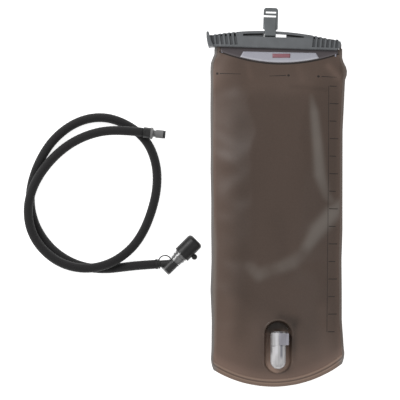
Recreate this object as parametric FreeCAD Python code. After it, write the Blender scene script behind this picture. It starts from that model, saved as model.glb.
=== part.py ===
import FreeCAD, Part
import math
import os

# Hydration bladder: a film reservoir closed by a slide-on bar, lying flat on a surface with its
# detached drinking hose beside it. Millimetres. +X to the right, +Y towards the mouth, +Z up from
# the surface. The origin is under the middle of the reservoir.

Vector = FreeCAD.Vector
UP = Vector(0, 0, 1)

# --- reservoir film ---------------------------------------------------------------------------
FILM = 0.6                     # film thickness
BAG_CENTRE_X = 1.0
BAG_HALF_WIDTH = 89.0
WELD_Z = 7.9                   # height of the rims, where front and back film meet
FRONT_RISE = 14.0              # crown of the front film over the rims
BACK_DROP = WELD_Z - FILM      # the back film lies on the surface
SEAM_RADIUS = 153.0            # outer edge of the rounded bottom
SEAM_CENTRE = Vector(-4.0, -99.7, 0)
SEAM_WIDTH = 7.0
SEAM_THICK = 1.8
FRONT_ROUNDING = 0.2           # share of the length over which the front swells from the bottom seam
BACK_ROUNDING = 0.12           # the same for the back
MOUTH_TAPER = 0.42             # share of the length over which it thins towards the mouth
NECK_X = -82.4                 # the left edge draws in to here at the bar
NECK_Y = (168.0, 192.0)

# --- slide bar, in its own axes: U along the bar, V towards the top of the bag ----------------
BAR_ORIGIN = Vector(-3.7, 197.3, 0)
BAR_TILT = -1.79               # degrees about +Z
BAR_BOTTOM_Z = 2.5
BAR_TOP_Z = 14.5
BAR_WALL = 2.5
BAR_LEFT = -86.0
BAR_RIGHT = 89.0
BAR_LEFT_V = 15.0
BAR_CROWN_U = -12.0
BAR_CROWN_V = 23.1
BAR_RIGHT_V = 11.6
BAR_CORNER = 8.0               # radius of the lower corner at the right end
BAR_ROUNDING = 1.6             # rounded front edges
CHANNEL_LEFT = -80.0
CHANNEL_LOW_V = 2.5
CHANNEL_TOP_V = 10.8
THROAT_Z = (6.9, 9.9)
RAIL_V = 3.3                   # depth of the arched rail over the blind groove
RAIL_Z = (6.9, 10.1)
WINDOW_RAIL_V = 4.2            # the rail is deeper in the window
RECESS_ENDS = (-41.0, 40.0)    # the blind groove under the rail
RECESS_LOW_V = 15.6
RECESS_FLOOR_Z = 6.7
WINDOW_ENDS = (-13.1, 16.8)    # where the groove is open right through, for the clip's hook
WINDOW_LOW_V = 15.0
SPINE_TOP_Z = 11.5             # the bar is thinner behind its channel
SPINE_V = 14.5
GROOVE_PITCH = 6.1
GROOVE_COUNT = 6
GROOVE_WIDTH = 3.9             # between the grip ribs
GROOVE_DEPTH = 1.8
GROOVE_V = (3.0, 14.5)
PIT_WIDTH = 2.6                # the deep hole at the top of each groove
PIT_LOW_V = 12.8
PIT_RIM = 1.7                  # what is left between a pit and the arched edge
PIT_FLOOR_Z = 6.4
GROOVES_LEFT = (-81.8, 9.0)    # the first groove's middle, and the slant in degrees
GROOVES_RIGHT = (53.5, -4.0)
SCALLOP_RADIUS = 3.0
SCALLOP_DEPTH = 0.6
LIP_TIP_V = 19.2
LIP_HEIGHT = 16.5

# --- mouth ------------------------------------------------------------------------------------
MOUTH_V = 3.0                  # the films run into the bar this far
CORE_V = 7.2
CORE_RADIUS = 2.45
FOLD_RADIUS = 3.15
MOUTH_ENDS = (-78.0, 90.0)
FLAP_THICK = 0.5
FLAP_GAP = 0.2
LABEL_THICK = 0.3

# --- hanging clip, in the bar's axes ----------------------------------------------------------
CLIP_U = -5.0
CLIP_WIDTH = 19.4
CLIP_TOP_V = 53.9
CLIP_Z = (9.6, 12.6)
CLIP_NARROWS_V = (24.5, 26.0)  # where its sides draw in to the hook
HOOK_WIDTH = 15.0
HOOK_BORE = 3.0
HOOK_RADIUS = 5.6

# --- port -------------------------------------------------------------------------------------
PORT_X = 2.05
PORT_Z = 15.85
PORT_RADIUS = 10.35
PORT_MOUTH_Y = -178.8
PORT_END_Y = -217.65           # centre of the rounded end
TRAY_CENTRE = Vector(1.85, -199.5, 0)
TRAY_LENGTH = 73.0
TRAY_WIDTH = 37.0
TRAY_WALL = 1.6
TRAY_FLOOR_Z = (4.0, 5.5)
COLLAR_X = (-7.5, 11.8)
COLLAR_LENGTH = 16.7
SOCKET_RADIUS = 5.6
SOCKET_DEPTH = 17.4
SOCKET_RELIEF = (-193.6, -193.1)
RELIEF_RADIUS = 6.0
SEAT_THICK = 1.5
SEAT_HOLE = 3.0
CAVITY_RADIUS = 4.8
CAVITY_END_Y = -214.0
OUTLET_Y = -208.0
OUTLET_RADIUS = 3.6
LATCH_Y = (-182.3, -180.3)
LATCH_HALF_HEIGHT = 7.0
LATCH_HOLE = 5.8
LATCH_TRAVEL = 1.2
BUTTON_X = (13.8, 15.6)
BUTTON_Y = (-194.8, -179.4)
BUTTON_PLATE_X = 2.8           # the button's top plate reaches this far over the collar
BUTTON_PLATE_Z = (26.5, 27.6)

# --- hose -------------------------------------------------------------------------------------
SLEEVE_RADIUS = 6.1
SLEEVE_BORE = 4.95
TUBE_RADIUS = 4.75
TUBE_BORE = 3.2
PLUG_TUBE = 8.0                # bare tube past the sleeve, inside the plug's grip
VALVE_TUBE = 3.7               # bare tube past the sleeve, up to the valve's elbow
CUFF_RADIUS = 6.6
CUFF_LENGTH = 3.0
HOSE_ROUTE = [
    (-176.2, 85.4, 20.0),
    (-203.0, 88.3, 20.0),
    (-236.0, 87.0, 16.8),
    (-267.5, 75.6, 10.8),
    (-293.5, 56.3, 9.6),
    (-312.5, 32.5, 15.8),
    (-324.0, 9.0, 19.6),
    (-329.6, -17.0, 19.7),
    (-325.5, -45.0, 19.6),
    (-309.5, -70.5, 19.7),
    (-283.5, -89.5, 19.6),
    (-251.0, -95.6, 19.7),
    (-219.8, -88.8, 18.6),
    (-194.5, -71.5, 10.6),
    (-177.5, -48.5, 6.2),
    (-165.2, -18.5, 6.3),
    (-158.2, 14.0, 6.2),
    (-159.6, 46.5, 6.3),
    (-172.2, 76.0, 6.2),
    (-197.5, 97.0, 6.3),
    (-229.5, 107.8, 6.2),
    (-264.0, 101.8, 6.3),
    (-294.5, 80.5, 6.2),
    (-315.4, 49.5, 6.3),
    (-327.2, 16.0, 6.2),
    (-328.2, -16.0, 6.3),
    (-317.5, -47.5, 6.2),
    (-294.2, -75.2, 6.3),
    (-262.0, -93.0, 6.2),
    (-229.0, -96.4, 6.3),
    (-203.5, -93.4, 7.6),
    (-178.3, -90.4, 11.6),
    (-157.3, -89.0, 11.6),
]

# --- plug, distances from the sleeve's end ----------------------------------------------------
GRIP_RADIUS = 7.0
GRIP_LENGTH = 9.6
FLANGE_RADIUS = 7.65
FLANGE_END = 12.5
CONE_END = 13.8
NECK_RADIUS = 4.4
NECK_END = 16.5
BARREL_RADIUS = 5.5
BARREL_END = 26.3
TIP_END = 29.4
SEAL_RADIUS = 5.25
PLUG_BORE = 2.4
BARB_RADIUS = 3.1
BARB_LENGTH = 11.0

# --- bite valve, distances along its axis from the end rim ------------------------------------
VALVE_ANGLE = 45.0
MEETING = 20.6                 # from the sleeve's end to the valve's axis
MEETING_ALONG = 15.4
ELBOW_RADIUS = 7.2
ELBOW_ENDS = (2.0, 15.5)
ELBOW_BORE = 4.6
CAP_RADIUS = 7.0
CORE_VALVE_RADIUS = 4.3
HEAD_START = 15.8
HEAD_COLLAR_RADIUS = 6.5
HEAD_BODY = (19.0, 28.0)
HEAD_RADIUS = 8.0
HEAD_FLANGE = (24.0, 27.0)
HEAD_FLANGE_RADIUS = 9.0
SPIGOT_RADIUS = 9.2
SPIGOT_END = 34.0
NIPPLE_RADIUS = 5.0
NIPPLE_END = 41.0
BITE_END = 54.0
COVER_RADIUS = 11.5
COVER_BORE = 9.6
COVER_ENDS = (30.8, 58.6)
COVER_FLOOR = 2.0
KNOB_RADIUS = 3.8
KNOB_ALONG = 40.8
KNOB_OFF = 14.1
WATERWAY = 2.2


def save(name, shape):
    """Writes one node, and names it if it is not a sound solid."""
    if not shape.isValid() or not shape.Solids:
        print("unsound:", name, shape.ShapeType)
    shape.exportStep(os.path.join("parts", name + ".step"))


def box(x, y, z):
    """A block between pairs of limits."""
    return Part.makeBox(x[1] - x[0], y[1] - y[0], z[1] - z[0], Vector(x[0], y[0], z[0]))


def rod(radius, start, axis, length):
    return Part.makeCylinder(radius, length, start, axis)


def ring(outer, inner, start, axis, length):
    return rod(outer, start, axis, length).cut(rod(inner, start - axis, axis, length + 2))


def fuse(first, *others):
    return first.multiFuse(list(others)).removeSplitter()


def cut_all(shape, *tools):
    for tool in tools:
        shape = shape.cut(tool)
    return shape


def coil_spring(radius, wire, start, axis, length, turns):
    """A round-wire compression spring."""
    height = length - 2 * wire
    helix = Part.makeHelix(height / turns, height, radius)
    profile = Part.Wire([Part.makeCircle(wire, Vector(radius, 0, 0), Vector(0, 1, 0))])
    spring = Part.Wire(helix.Edges).makePipeShell([profile], True, True)
    spring.translate(Vector(0, 0, wire))
    turn = FreeCAD.Rotation(UP, axis)
    spring.Placement = FreeCAD.Placement(start, turn).multiply(spring.Placement)
    return spring


# --- the film surfaces ------------------------------------------------------------------------
def bottom_y(x, inset):
    """The rounded bottom, or a line that runs inside it by inset."""
    return SEAM_CENTRE.y - math.sqrt((SEAM_RADIUS - inset) ** 2 - (x - SEAM_CENTRE.x) ** 2)


def mouth_y(x):
    """The line on which the films run into the bar."""
    slope = math.tan(math.radians(BAR_TILT))
    return BAR_ORIGIN.y + MOUTH_V + (x - BAR_ORIGIN.x) * slope


def swell(across, along, share):
    """How far the film stands off the rims, from 0 to 1."""
    from_seam = min(along / share, 1.0)
    from_mouth = min((1.0 - along) / MOUTH_TAPER, 1.0)
    rounding = 1 - (1 - from_seam) ** 2
    taper = from_mouth ** 2 * (3 - 2 * from_mouth)
    return (1 - across ** 4) * rounding * taper


def film_face(height, lift=0.0, columns=25, rows=41):
    """A smooth face from the bottom seam to the mouth, height over the rims where the bag is fullest."""
    share = FRONT_ROUNDING if height > 0 else BACK_ROUNDING
    grid = []
    for column in range(columns):
        across = 2 * column / (columns - 1) - 1
        x = BAG_CENTRE_X + across * BAG_HALF_WIDTH
        low = bottom_y(x, SEAM_WIDTH)
        high = mouth_y(x)
        line = []
        for row in range(rows):
            along = row / (rows - 1)
            z = WELD_Z + lift + height * swell(across, along, share)
            line.append(Vector(x, low + along * (high - low), z))
        grid.append(line)
    surface = Part.BSplineSurface()
    surface.interpolate(grid)
    return surface.toShape()


def front_layer(lift, thickness):
    """A sheet that follows the front film at a distance over its inner face."""
    return film_face(FRONT_RISE, lift).extrude(UP * thickness)


def stadium(centre, width, length, z):
    """A long round-ended face, its length along Y."""
    radius = width / 2
    reach = length / 2 - radius
    left, right = centre.x - radius, centre.x + radius
    low, high = centre.y - reach, centre.y + reach
    edges = [
        Part.LineSegment(Vector(left, high, z), Vector(left, low, z)),
        Part.Arc(Vector(left, low, z), Vector(centre.x, low - radius, z), Vector(right, low, z)),
        Part.LineSegment(Vector(right, low, z), Vector(right, high, z)),
        Part.Arc(Vector(right, high, z), Vector(centre.x, high + radius, z), Vector(left, high, z)),
    ]
    return Part.Face(Part.Wire([edge.toShape() for edge in edges]))


def neck_trim():
    """What is cut from the left edge of both films, where they narrow into the bar."""
    outline = [(-95, NECK_Y[0]), (-88.3, NECK_Y[0]), (NECK_X, NECK_Y[1]), (NECK_X, 215), (-95, 215)]
    corners = [Vector(x, y, -5) for x, y in outline]
    return Part.Face(Part.makePolygon(corners + corners[:1])).extrude(UP * 40)


def make_films():
    hole = stadium(TRAY_CENTRE, TRAY_WIDTH, TRAY_LENGTH, 0).extrude(UP * 40)
    front = cut_all(front_layer(0, FILM), hole, neck_trim())
    back = film_face(-BACK_DROP).extrude(UP * -FILM).cut(neck_trim())
    save("front_film", front)
    save("back_film", back)


def make_bottom_seam():
    left = BAG_CENTRE_X - BAG_HALF_WIDTH
    right = BAG_CENTRE_X + BAG_HALF_WIDTH
    base = WELD_Z - SEAM_THICK / 2
    mid = SEAM_CENTRE.x

    def at(x, inset):
        return Vector(x, bottom_y(x, inset), base)

    edges = [
        Part.Arc(at(left, 0), at(mid, 0), at(right, 0)),
        Part.LineSegment(at(right, 0), at(right, SEAM_WIDTH)),
        Part.Arc(at(right, SEAM_WIDTH), at(mid, SEAM_WIDTH), at(left, SEAM_WIDTH)),
        Part.LineSegment(at(left, SEAM_WIDTH), at(left, 0)),
    ]
    band = Part.Face(Part.Wire([edge.toShape() for edge in edges]))
    save("bottom_seam", band.extrude(UP * SEAM_THICK))


# --- the bar and what is built in its axes ----------------------------------------------------
def place_on_bar(shape):
    """Moves a shape from the bar's axes to the bladder's."""
    bar_axes = FreeCAD.Placement(BAR_ORIGIN, FreeCAD.Rotation(UP, BAR_TILT))
    placed = shape.copy()
    placed.Placement = bar_axes.multiply(placed.Placement)
    return placed


def crown_arc(drop, z):
    """The arched top edge of the bar, or a line under it."""
    return Part.Arc(
        Vector(BAR_LEFT, BAR_LEFT_V - drop, z),
        Vector(BAR_CROWN_U, BAR_CROWN_V - drop, z),
        Vector(BAR_RIGHT, BAR_RIGHT_V - drop, z),
    )


def arch_v(u):
    """The height of the bar's arched edge."""
    arc = crown_arc(0, 0).toShape().Curve
    return arc.Center.y + math.sqrt(arc.Radius ** 2 - (u - arc.Center.x) ** 2)


def bar_slab(drop, z):
    """The bar's outline up to a line under its arched edge, between two heights."""
    right_v = BAR_RIGHT_V - drop
    left_v = BAR_LEFT_V - drop
    tuck = BAR_CORNER * (1 - math.sqrt(0.5))
    edges = [
        crown_arc(drop, z[0]),
        Part.LineSegment(Vector(BAR_RIGHT, right_v, z[0]), Vector(BAR_RIGHT, BAR_CORNER, z[0])),
        Part.Arc(
            Vector(BAR_RIGHT, BAR_CORNER, z[0]),
            Vector(BAR_RIGHT - tuck, tuck, z[0]),
            Vector(BAR_RIGHT - BAR_CORNER, 0, z[0]),
        ),
        Part.LineSegment(Vector(BAR_RIGHT - BAR_CORNER, 0, z[0]), Vector(BAR_LEFT, 0, z[0])),
        Part.LineSegment(Vector(BAR_LEFT, 0, z[0]), Vector(BAR_LEFT, left_v, z[0])),
    ]
    return Part.Face(Part.Wire([edge.toShape() for edge in edges])).extrude(UP * (z[1] - z[0]))


def slanted(width, v, z, u, slant):
    """A block across the bar at u, turned about the foot of its pit."""
    block = box((-width / 2, width / 2), v, z)
    block.rotate(Vector(0, PIT_LOW_V, 0), UP, slant)
    block.translate(Vector(u, 0, 0))
    return block


def finger_grooves(start, slant):
    """The cuts between the grip ribs at one end of the bar: a groove, a deep pit and a scallop each."""
    room = bar_slab(PIT_RIM, (PIT_FLOOR_Z, BAR_TOP_Z + 1))
    cuts = []
    for index in range(GROOVE_COUNT):
        u = start + index * GROOVE_PITCH
        shallow = (BAR_TOP_Z - GROOVE_DEPTH, BAR_TOP_Z + 1)
        cuts.append(slanted(GROOVE_WIDTH, GROOVE_V, shallow, u, slant))
        pit = slanted(PIT_WIDTH, (PIT_LOW_V, 30), (PIT_FLOOR_Z, BAR_TOP_Z + 1), u, slant).common(room)
        if pit.Solids:
            cuts.append(pit)
        hollow = Vector(u, arch_v(u) + SCALLOP_RADIUS - SCALLOP_DEPTH, 0)
        cuts.append(rod(SCALLOP_RADIUS, hollow, UP, 30))
    return cuts


def thumb_lip():
    """The raised lip that the bar is pulled by, round its left end."""
    outer = Part.Arc(Vector(-85.9, -1.2, 0), Vector(-88.6, 7.5, 0), Vector(-89.9, LIP_TIP_V, 0))
    tip = Part.LineSegment(Vector(-89.9, LIP_TIP_V, 0), Vector(-86.7, LIP_TIP_V, 0))
    inner = Part.Arc(Vector(-86.7, LIP_TIP_V, 0), Vector(-84.4, 10.5, 0), Vector(-80.0, 0.6, 0))
    foot = Part.LineSegment(Vector(-80.0, 0.6, 0), Vector(-85.9, -1.2, 0))
    face = Part.Face(Part.Wire([edge.toShape() for edge in (outer, tip, inner, foot)]))
    lip = face.extrude(UP * LIP_HEIGHT)
    tip_edges = [
        edge for edge in lip.Edges
        if edge.BoundBox.YMin > LIP_TIP_V - 0.1 and edge.BoundBox.ZLength > 1
    ]
    lip = lip.makeFillet(1.1, tip_edges)
    top_edges = [edge for edge in lip.Edges if edge.BoundBox.ZMin > LIP_HEIGHT - 0.1 and edge.Length > 8]
    lip = lip.makeFillet(0.8, top_edges)
    lip.translate(UP * (BAR_BOTTOM_Z - 0.5))
    return lip


def make_slider_bar():
    body = bar_slab(0, (BAR_BOTTOM_Z, BAR_TOP_Z))
    front_edges = [
        edge for edge in body.Edges
        if edge.BoundBox.ZMin > BAR_TOP_Z - 0.01 and edge.BoundBox.YMin < BAR_CORNER - 0.01
    ]
    body = body.makeFillet(BAR_ROUNDING, [edge for edge in front_edges if edge.Length < 200])
    ends = (BAR_LEFT - 5, BAR_RIGHT + 5)
    full = (0, 20)
    recess = bar_slab(RAIL_V, (RECESS_FLOOR_Z, 20)).common(box(RECESS_ENDS, (RECESS_LOW_V, 40), full))
    window = bar_slab(WINDOW_RAIL_V, full).common(box(WINDOW_ENDS, (WINDOW_LOW_V, 40), full))
    thin_top = box(ends, (SPINE_V, 40), (SPINE_TOP_Z, 20))
    thin_base = box(ends, (SPINE_V, 40), (0, BAR_BOTTOM_Z + 3))
    above_rail = box(WINDOW_ENDS, (WINDOW_LOW_V, 40), (RAIL_Z[1], 20))
    below_rail = box(WINDOW_ENDS, (WINDOW_LOW_V, 40), (0, RAIL_Z[0]))
    channel = box(
        (CHANNEL_LEFT, BAR_RIGHT + 1),
        (CHANNEL_LOW_V, CHANNEL_TOP_V),
        (BAR_BOTTOM_Z + BAR_WALL, BAR_TOP_Z - BAR_WALL),
    )
    throat = box((CHANNEL_LEFT, BAR_RIGHT + 1), (-3, CHANNEL_LOW_V + 1), THROAT_Z)
    bar = cut_all(body, recess, window, thin_top, thin_base, above_rail, below_rail)
    bar = bar.fuse(thumb_lip())
    bar = cut_all(bar, channel, throat)
    bar = cut_all(bar, *finger_grooves(*GROOVES_LEFT))
    bar = cut_all(bar, *finger_grooves(*GROOVES_RIGHT))
    save("slider_bar", place_on_bar(bar))


def make_mouth():
    """The stiff core, the film folded round it, and the flap that hangs out over the front."""
    along = Vector(1, 0, 0)
    length = MOUTH_ENDS[1] - MOUTH_ENDS[0]
    middle = Vector(MOUTH_ENDS[0], CORE_V, WELD_Z + 0.5)
    core = rod(CORE_RADIUS, middle, along, length)
    wrap = ring(FOLD_RADIUS, CORE_RADIUS, middle, along, length)
    tail = box(MOUTH_ENDS, (MOUTH_V, CORE_V), (WELD_Z - FILM, WELD_Z + FILM + FLAP_GAP + FLAP_THICK))
    tail = tail.cut(rod(FOLD_RADIUS - 0.3, middle - along, along, length + 2))
    save("mouth_core", place_on_bar(core))
    save("mouth_fold", place_on_bar(fuse(wrap, tail)))


def make_flap():
    """The folded-over end of the film, a crescent below the bar, with its care label."""
    ends = (-73.0, 83.0)
    edge = Part.Arc(Vector(ends[0], 192.3, 0), Vector(4.5, 178.0, 0), Vector(ends[1], 187.0, 0))
    sides = [
        edge,
        Part.LineSegment(Vector(ends[1], 187.0, 0), Vector(ends[1], 210, 0)),
        Part.LineSegment(Vector(ends[1], 210, 0), Vector(ends[0], 210, 0)),
        Part.LineSegment(Vector(ends[0], 210, 0), Vector(ends[0], 192.3, 0)),
    ]
    area = Part.Face(Part.Wire([side.toShape() for side in sides])).extrude(UP * 40)
    lift = FILM + FLAP_GAP
    flap = front_layer(lift, FLAP_THICK).common(area)
    label_area = area.common(box((-46.0, 55.0), (170, 193), (0, 40)))
    label = front_layer(lift + FLAP_THICK, LABEL_THICK).common(label_area)
    save("mouth_flap", flap)
    save("care_label", label)


def make_hanger_clip():
    """The webbing clip, with a hook round the bar's arched rail."""
    left = CLIP_U - CLIP_WIDTH / 2
    right = CLIP_U + CLIP_WIDTH / 2
    hook_left = CLIP_U - HOOK_WIDTH / 2
    hook_right = CLIP_U + HOOK_WIDTH / 2
    rail_v = arch_v(CLIP_U) - WINDOW_RAIL_V / 2
    rail_z = sum(RAIL_Z) / 2
    low_v = rail_v - HOOK_RADIUS + 0.1
    along = Vector(1, 0, 0)
    outline = [
        (hook_left, low_v),
        (hook_right, low_v),
        (hook_right, CLIP_NARROWS_V[0]),
        (right, CLIP_NARROWS_V[1]),
        (right, CLIP_TOP_V),
        (left, CLIP_TOP_V),
        (left, CLIP_NARROWS_V[1]),
        (hook_left, CLIP_NARROWS_V[0]),
    ]
    corners = [Vector(u, v, CLIP_Z[0]) for u, v in outline]
    plate = Part.Face(Part.makePolygon(corners + corners[:1])).extrude(UP * (CLIP_Z[1] - CLIP_Z[0]))
    top_corners = [
        edge for edge in plate.Edges
        if abs(edge.tangentAt(0).z) > 0.9 and edge.BoundBox.YMin > CLIP_TOP_V - 0.01
    ]
    plate = plate.makeFillet(4.0, top_corners)
    front_edges = [edge for edge in plate.Edges if edge.BoundBox.ZMin > CLIP_Z[1] - 0.01]
    plate = plate.makeFillet(0.6, front_edges)
    eye = rod(HOOK_RADIUS, Vector(hook_left, rail_v, rail_z), along, HOOK_WIDTH)
    eye = eye.common(box((hook_left - 1, hook_right + 1), (low_v, 60), (rail_z - 5.1, CLIP_Z[1] - 0.6)))
    axis_start = Vector(left - 1, rail_v, rail_z)
    heel = box((left, right), (low_v - 1, rail_v), (CLIP_Z[0], CLIP_Z[1] + 1))
    heel = heel.cut(rod(HOOK_RADIUS, axis_start, along, CLIP_WIDTH + 2))
    bore = rod(HOOK_BORE, axis_start, along, CLIP_WIDTH + 2)
    clip = cut_all(fuse(plate, eye), heel, bore)
    top_slot = box((left + 3.0, right - 2.7), (46.4, 48.9), (0, 20))
    open_slot = box((left - 1, right - 2.7), (41.2, 43.9), (0, 20))
    groove_depth = (CLIP_Z[1] - 0.7, CLIP_Z[1] + 1)
    frame_groove = box((right - 2.9, right - 2.3), (24.5, 41.0), groove_depth)
    fold = box((-6, 0), (-20, 20), (0, 6))
    fold.rotate(Vector(0, 0, 0), Vector(0, 1, 0), -24)
    fold.rotate(Vector(0, 0, 0), UP, 9.5)
    fold.translate(Vector(hook_left + 0.9, 22.0, CLIP_Z[1]))
    fold = fold.common(box((left - 2, CLIP_U), (low_v - 1, 40.5), (0, 30)))
    save("hanger_clip", place_on_bar(cut_all(clip, top_slot, open_slot, frame_groove, fold)))


# --- the port ---------------------------------------------------------------------------------
def make_port_tray():
    """The welded recess that the outlet elbow stands in."""
    outer = stadium(TRAY_CENTRE, TRAY_WIDTH, TRAY_LENGTH, TRAY_FLOOR_Z[0]).extrude(UP * 40)
    inner_width = TRAY_WIDTH - 2 * TRAY_WALL
    inner_length = TRAY_LENGTH - 2 * TRAY_WALL
    inner = stadium(TRAY_CENTRE, inner_width, inner_length, TRAY_FLOOR_Z[1]).extrude(UP * 40)
    under_front = film_face(FRONT_RISE, FILM + 0.6).extrude(UP * -30)
    over_back = film_face(-BACK_DROP, 0.3).extrude(UP * 40)
    tray = outer.common(under_front).common(over_back).cut(inner)
    outlet = rod(OUTLET_RADIUS, Vector(PORT_X, OUTLET_Y, 0), UP, PORT_Z)
    save("port_tray", tray.cut(outlet))


def make_port_housing():
    """The outlet elbow: a socket that faces the mouth, a valve seat, and a leg down into the bag."""
    inward = Vector(0, -1, 0)
    mouth = Vector(PORT_X, PORT_MOUTH_Y, PORT_Z)
    barrel = rod(PORT_RADIUS, mouth + inward * 2, inward, PORT_MOUTH_Y - 2 - PORT_END_Y)
    dome = Part.makeSphere(PORT_RADIUS, Vector(PORT_X, PORT_END_Y, PORT_Z))
    top = PORT_Z + PORT_RADIUS
    collar_y = (PORT_MOUTH_Y - COLLAR_LENGTH, PORT_MOUTH_Y)
    collar = box(COLLAR_X, collar_y, (TRAY_FLOOR_Z[1], top))
    long_edges = [edge for edge in collar.Edges if abs(edge.tangentAt(0).y) > 0.9]
    collar = collar.makeFillet(1.5, long_edges)
    foot = box((PORT_X - 7.5, PORT_X + 7.5), (PORT_END_Y - 2, PORT_MOUTH_Y - 8), (TRAY_FLOOR_Z[1], PORT_Z))
    housing = fuse(barrel, dome, collar, foot)
    socket = rod(SOCKET_RADIUS, mouth - inward, inward, SOCKET_DEPTH + 1)
    seat_y = PORT_MOUTH_Y - SOCKET_DEPTH
    seat_hole = rod(SEAT_HOLE, Vector(PORT_X, seat_y + 1, PORT_Z), inward, SEAT_THICK + 2)
    cavity_start = seat_y - SEAT_THICK
    cavity = rod(CAVITY_RADIUS, Vector(PORT_X, cavity_start, PORT_Z), inward, cavity_start - CAVITY_END_Y)
    outlet = rod(OUTLET_RADIUS, Vector(PORT_X, OUTLET_Y, 0), UP, PORT_Z)
    latch_slot = box(
        (COLLAR_X[0] + 1.1, COLLAR_X[1] + 1),
        (LATCH_Y[0] - 0.2, LATCH_Y[1] + 0.2),
        (PORT_Z - LATCH_HALF_HEIGHT - 0.3, PORT_Z + LATCH_HALF_HEIGHT + 0.3),
    )
    relief_start = Vector(PORT_X, SOCKET_RELIEF[1], PORT_Z)
    relief = rod(RELIEF_RADIUS, relief_start, inward, SOCKET_RELIEF[1] - SOCKET_RELIEF[0])
    spring_pocket = rod(2.3, Vector(COLLAR_X[1] - 1.8, -190.0, PORT_Z), Vector(1, 0, 0), 3)
    housing = cut_all(housing, socket, relief, seat_hole, cavity, outlet, latch_slot, spring_pocket)
    save("port_housing", housing)


def make_latch():
    """The sprung latch plate with its push button, and its spring."""
    plate = box(
        (-4.6, BUTTON_X[0] + 0.5),
        LATCH_Y,
        (PORT_Z - LATCH_HALF_HEIGHT, PORT_Z + LATCH_HALF_HEIGHT),
    )
    centre = Vector(PORT_X + LATCH_TRAVEL, LATCH_Y[0] - 1, PORT_Z)
    plate = plate.cut(rod(LATCH_HOLE, centre, Vector(0, 1, 0), 4))
    side = box(BUTTON_X, BUTTON_Y, (PORT_Z - 8.0, BUTTON_PLATE_Z[1]))
    top = box((BUTTON_PLATE_X, BUTTON_X[1]), BUTTON_Y, BUTTON_PLATE_Z)
    pad = fuse(side, top)
    outer_edges = [
        edge for edge in pad.Edges
        if edge.BoundBox.XMin > BUTTON_X[1] - 0.01 and edge.BoundBox.ZMax > BUTTON_PLATE_Z[1] - 0.01
    ]
    pad = pad.makeFillet(1.0, outer_edges)
    save("latch_button", fuse(plate, pad))
    start = Vector(COLLAR_X[1] - 1.75, -190.0, PORT_Z)
    spring = coil_spring(1.7, 0.25, start, Vector(1, 0, 0), BUTTON_X[0] - start.x - 0.05, 3)
    save("latch_spring", spring)


def make_poppet():
    """The spring-loaded poppet that keeps the port shut while the hose is off."""
    inward = Vector(0, -1, 0)
    seat_back = PORT_MOUTH_Y - SOCKET_DEPTH - SEAT_THICK
    nose = rod(2.5, Vector(PORT_X, seat_back + 4.4, PORT_Z), inward, 5.5)
    head = rod(4.3, Vector(PORT_X, seat_back - 0.9, PORT_Z), inward, 1.8)
    stem = rod(1.2, Vector(PORT_X, seat_back - 2, PORT_Z), inward, 7)
    vanes = box((PORT_X - 0.4, PORT_X + 0.4), (seat_back + 3.4, seat_back + 4.4), (PORT_Z - 2, PORT_Z + 2))
    save("poppet", fuse(nose.cut(vanes), head, stem))
    gasket = ring(4.2, 2.55, Vector(PORT_X, seat_back - 0.05, PORT_Z), inward, 0.8)
    save("poppet_gasket", gasket)
    start = Vector(PORT_X, seat_back - 2.75, PORT_Z)
    spring = coil_spring(2.6, 0.35, start, inward, start.y - CAVITY_END_Y - 0.05, 6)
    save("poppet_spring", spring)


# --- the hose ---------------------------------------------------------------------------------
def unit(vector):
    return vector * (1 / vector.Length)


def rounded_route(points):
    """Straight runs joined by the largest tangent arcs that they allow."""
    edges = []
    last = points[0]
    for before, corner, after in zip(points, points[1:], points[2:]):
        arriving = unit(corner - before)
        leaving = unit(after - corner)
        turn = arriving.getAngle(leaving)
        reach = 0.45 * min((corner - before).Length, (after - corner).Length)
        radius = reach / math.tan(turn / 2)
        first = corner - arriving * reach
        second = corner + leaving * reach
        towards_centre = unit(leaving - arriving)
        middle = corner + towards_centre * (radius / math.cos(turn / 2) - radius)
        edges.append(Part.LineSegment(last, first).toShape())
        edges.append(Part.Arc(first, middle, second).toShape())
        last = second
    edges.append(Part.LineSegment(last, points[-1]).toShape())
    return Part.Wire(edges)


def pipe(path, radius, start, direction):
    profile = Part.Wire([Part.makeCircle(radius, start, direction)])
    return path.makePipeShell([profile], True, False)


def make_hose():
    points = [Vector(*point) for point in HOSE_ROUTE]
    path = rounded_route(points)
    start, end = points[0], points[-1]
    leaving = unit(points[1] - start)
    arriving = unit(end - points[-2])
    sleeve = pipe(path, SLEEVE_RADIUS, start, leaving).cut(pipe(path, SLEEVE_BORE, start, leaving))
    tube = pipe(path, TUBE_RADIUS, start, leaving).cut(pipe(path, TUBE_BORE, start, leaving))
    plug_end = ring(TUBE_RADIUS, TUBE_BORE, start - leaving * PLUG_TUBE, leaving, PLUG_TUBE)
    valve_end = ring(TUBE_RADIUS, TUBE_BORE, end, arriving, VALVE_TUBE)
    tube = fuse(tube, plug_end, valve_end)
    cuff = ring(CUFF_RADIUS, SLEEVE_RADIUS + 0.05, end - arriving * CUFF_LENGTH, arriving, CUFF_LENGTH)
    save("hose_sleeve", sleeve)
    save("hose_tube", tube)
    save("sleeve_cuff", cuff)
    print("hose length", round(path.Length, 1))


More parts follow.
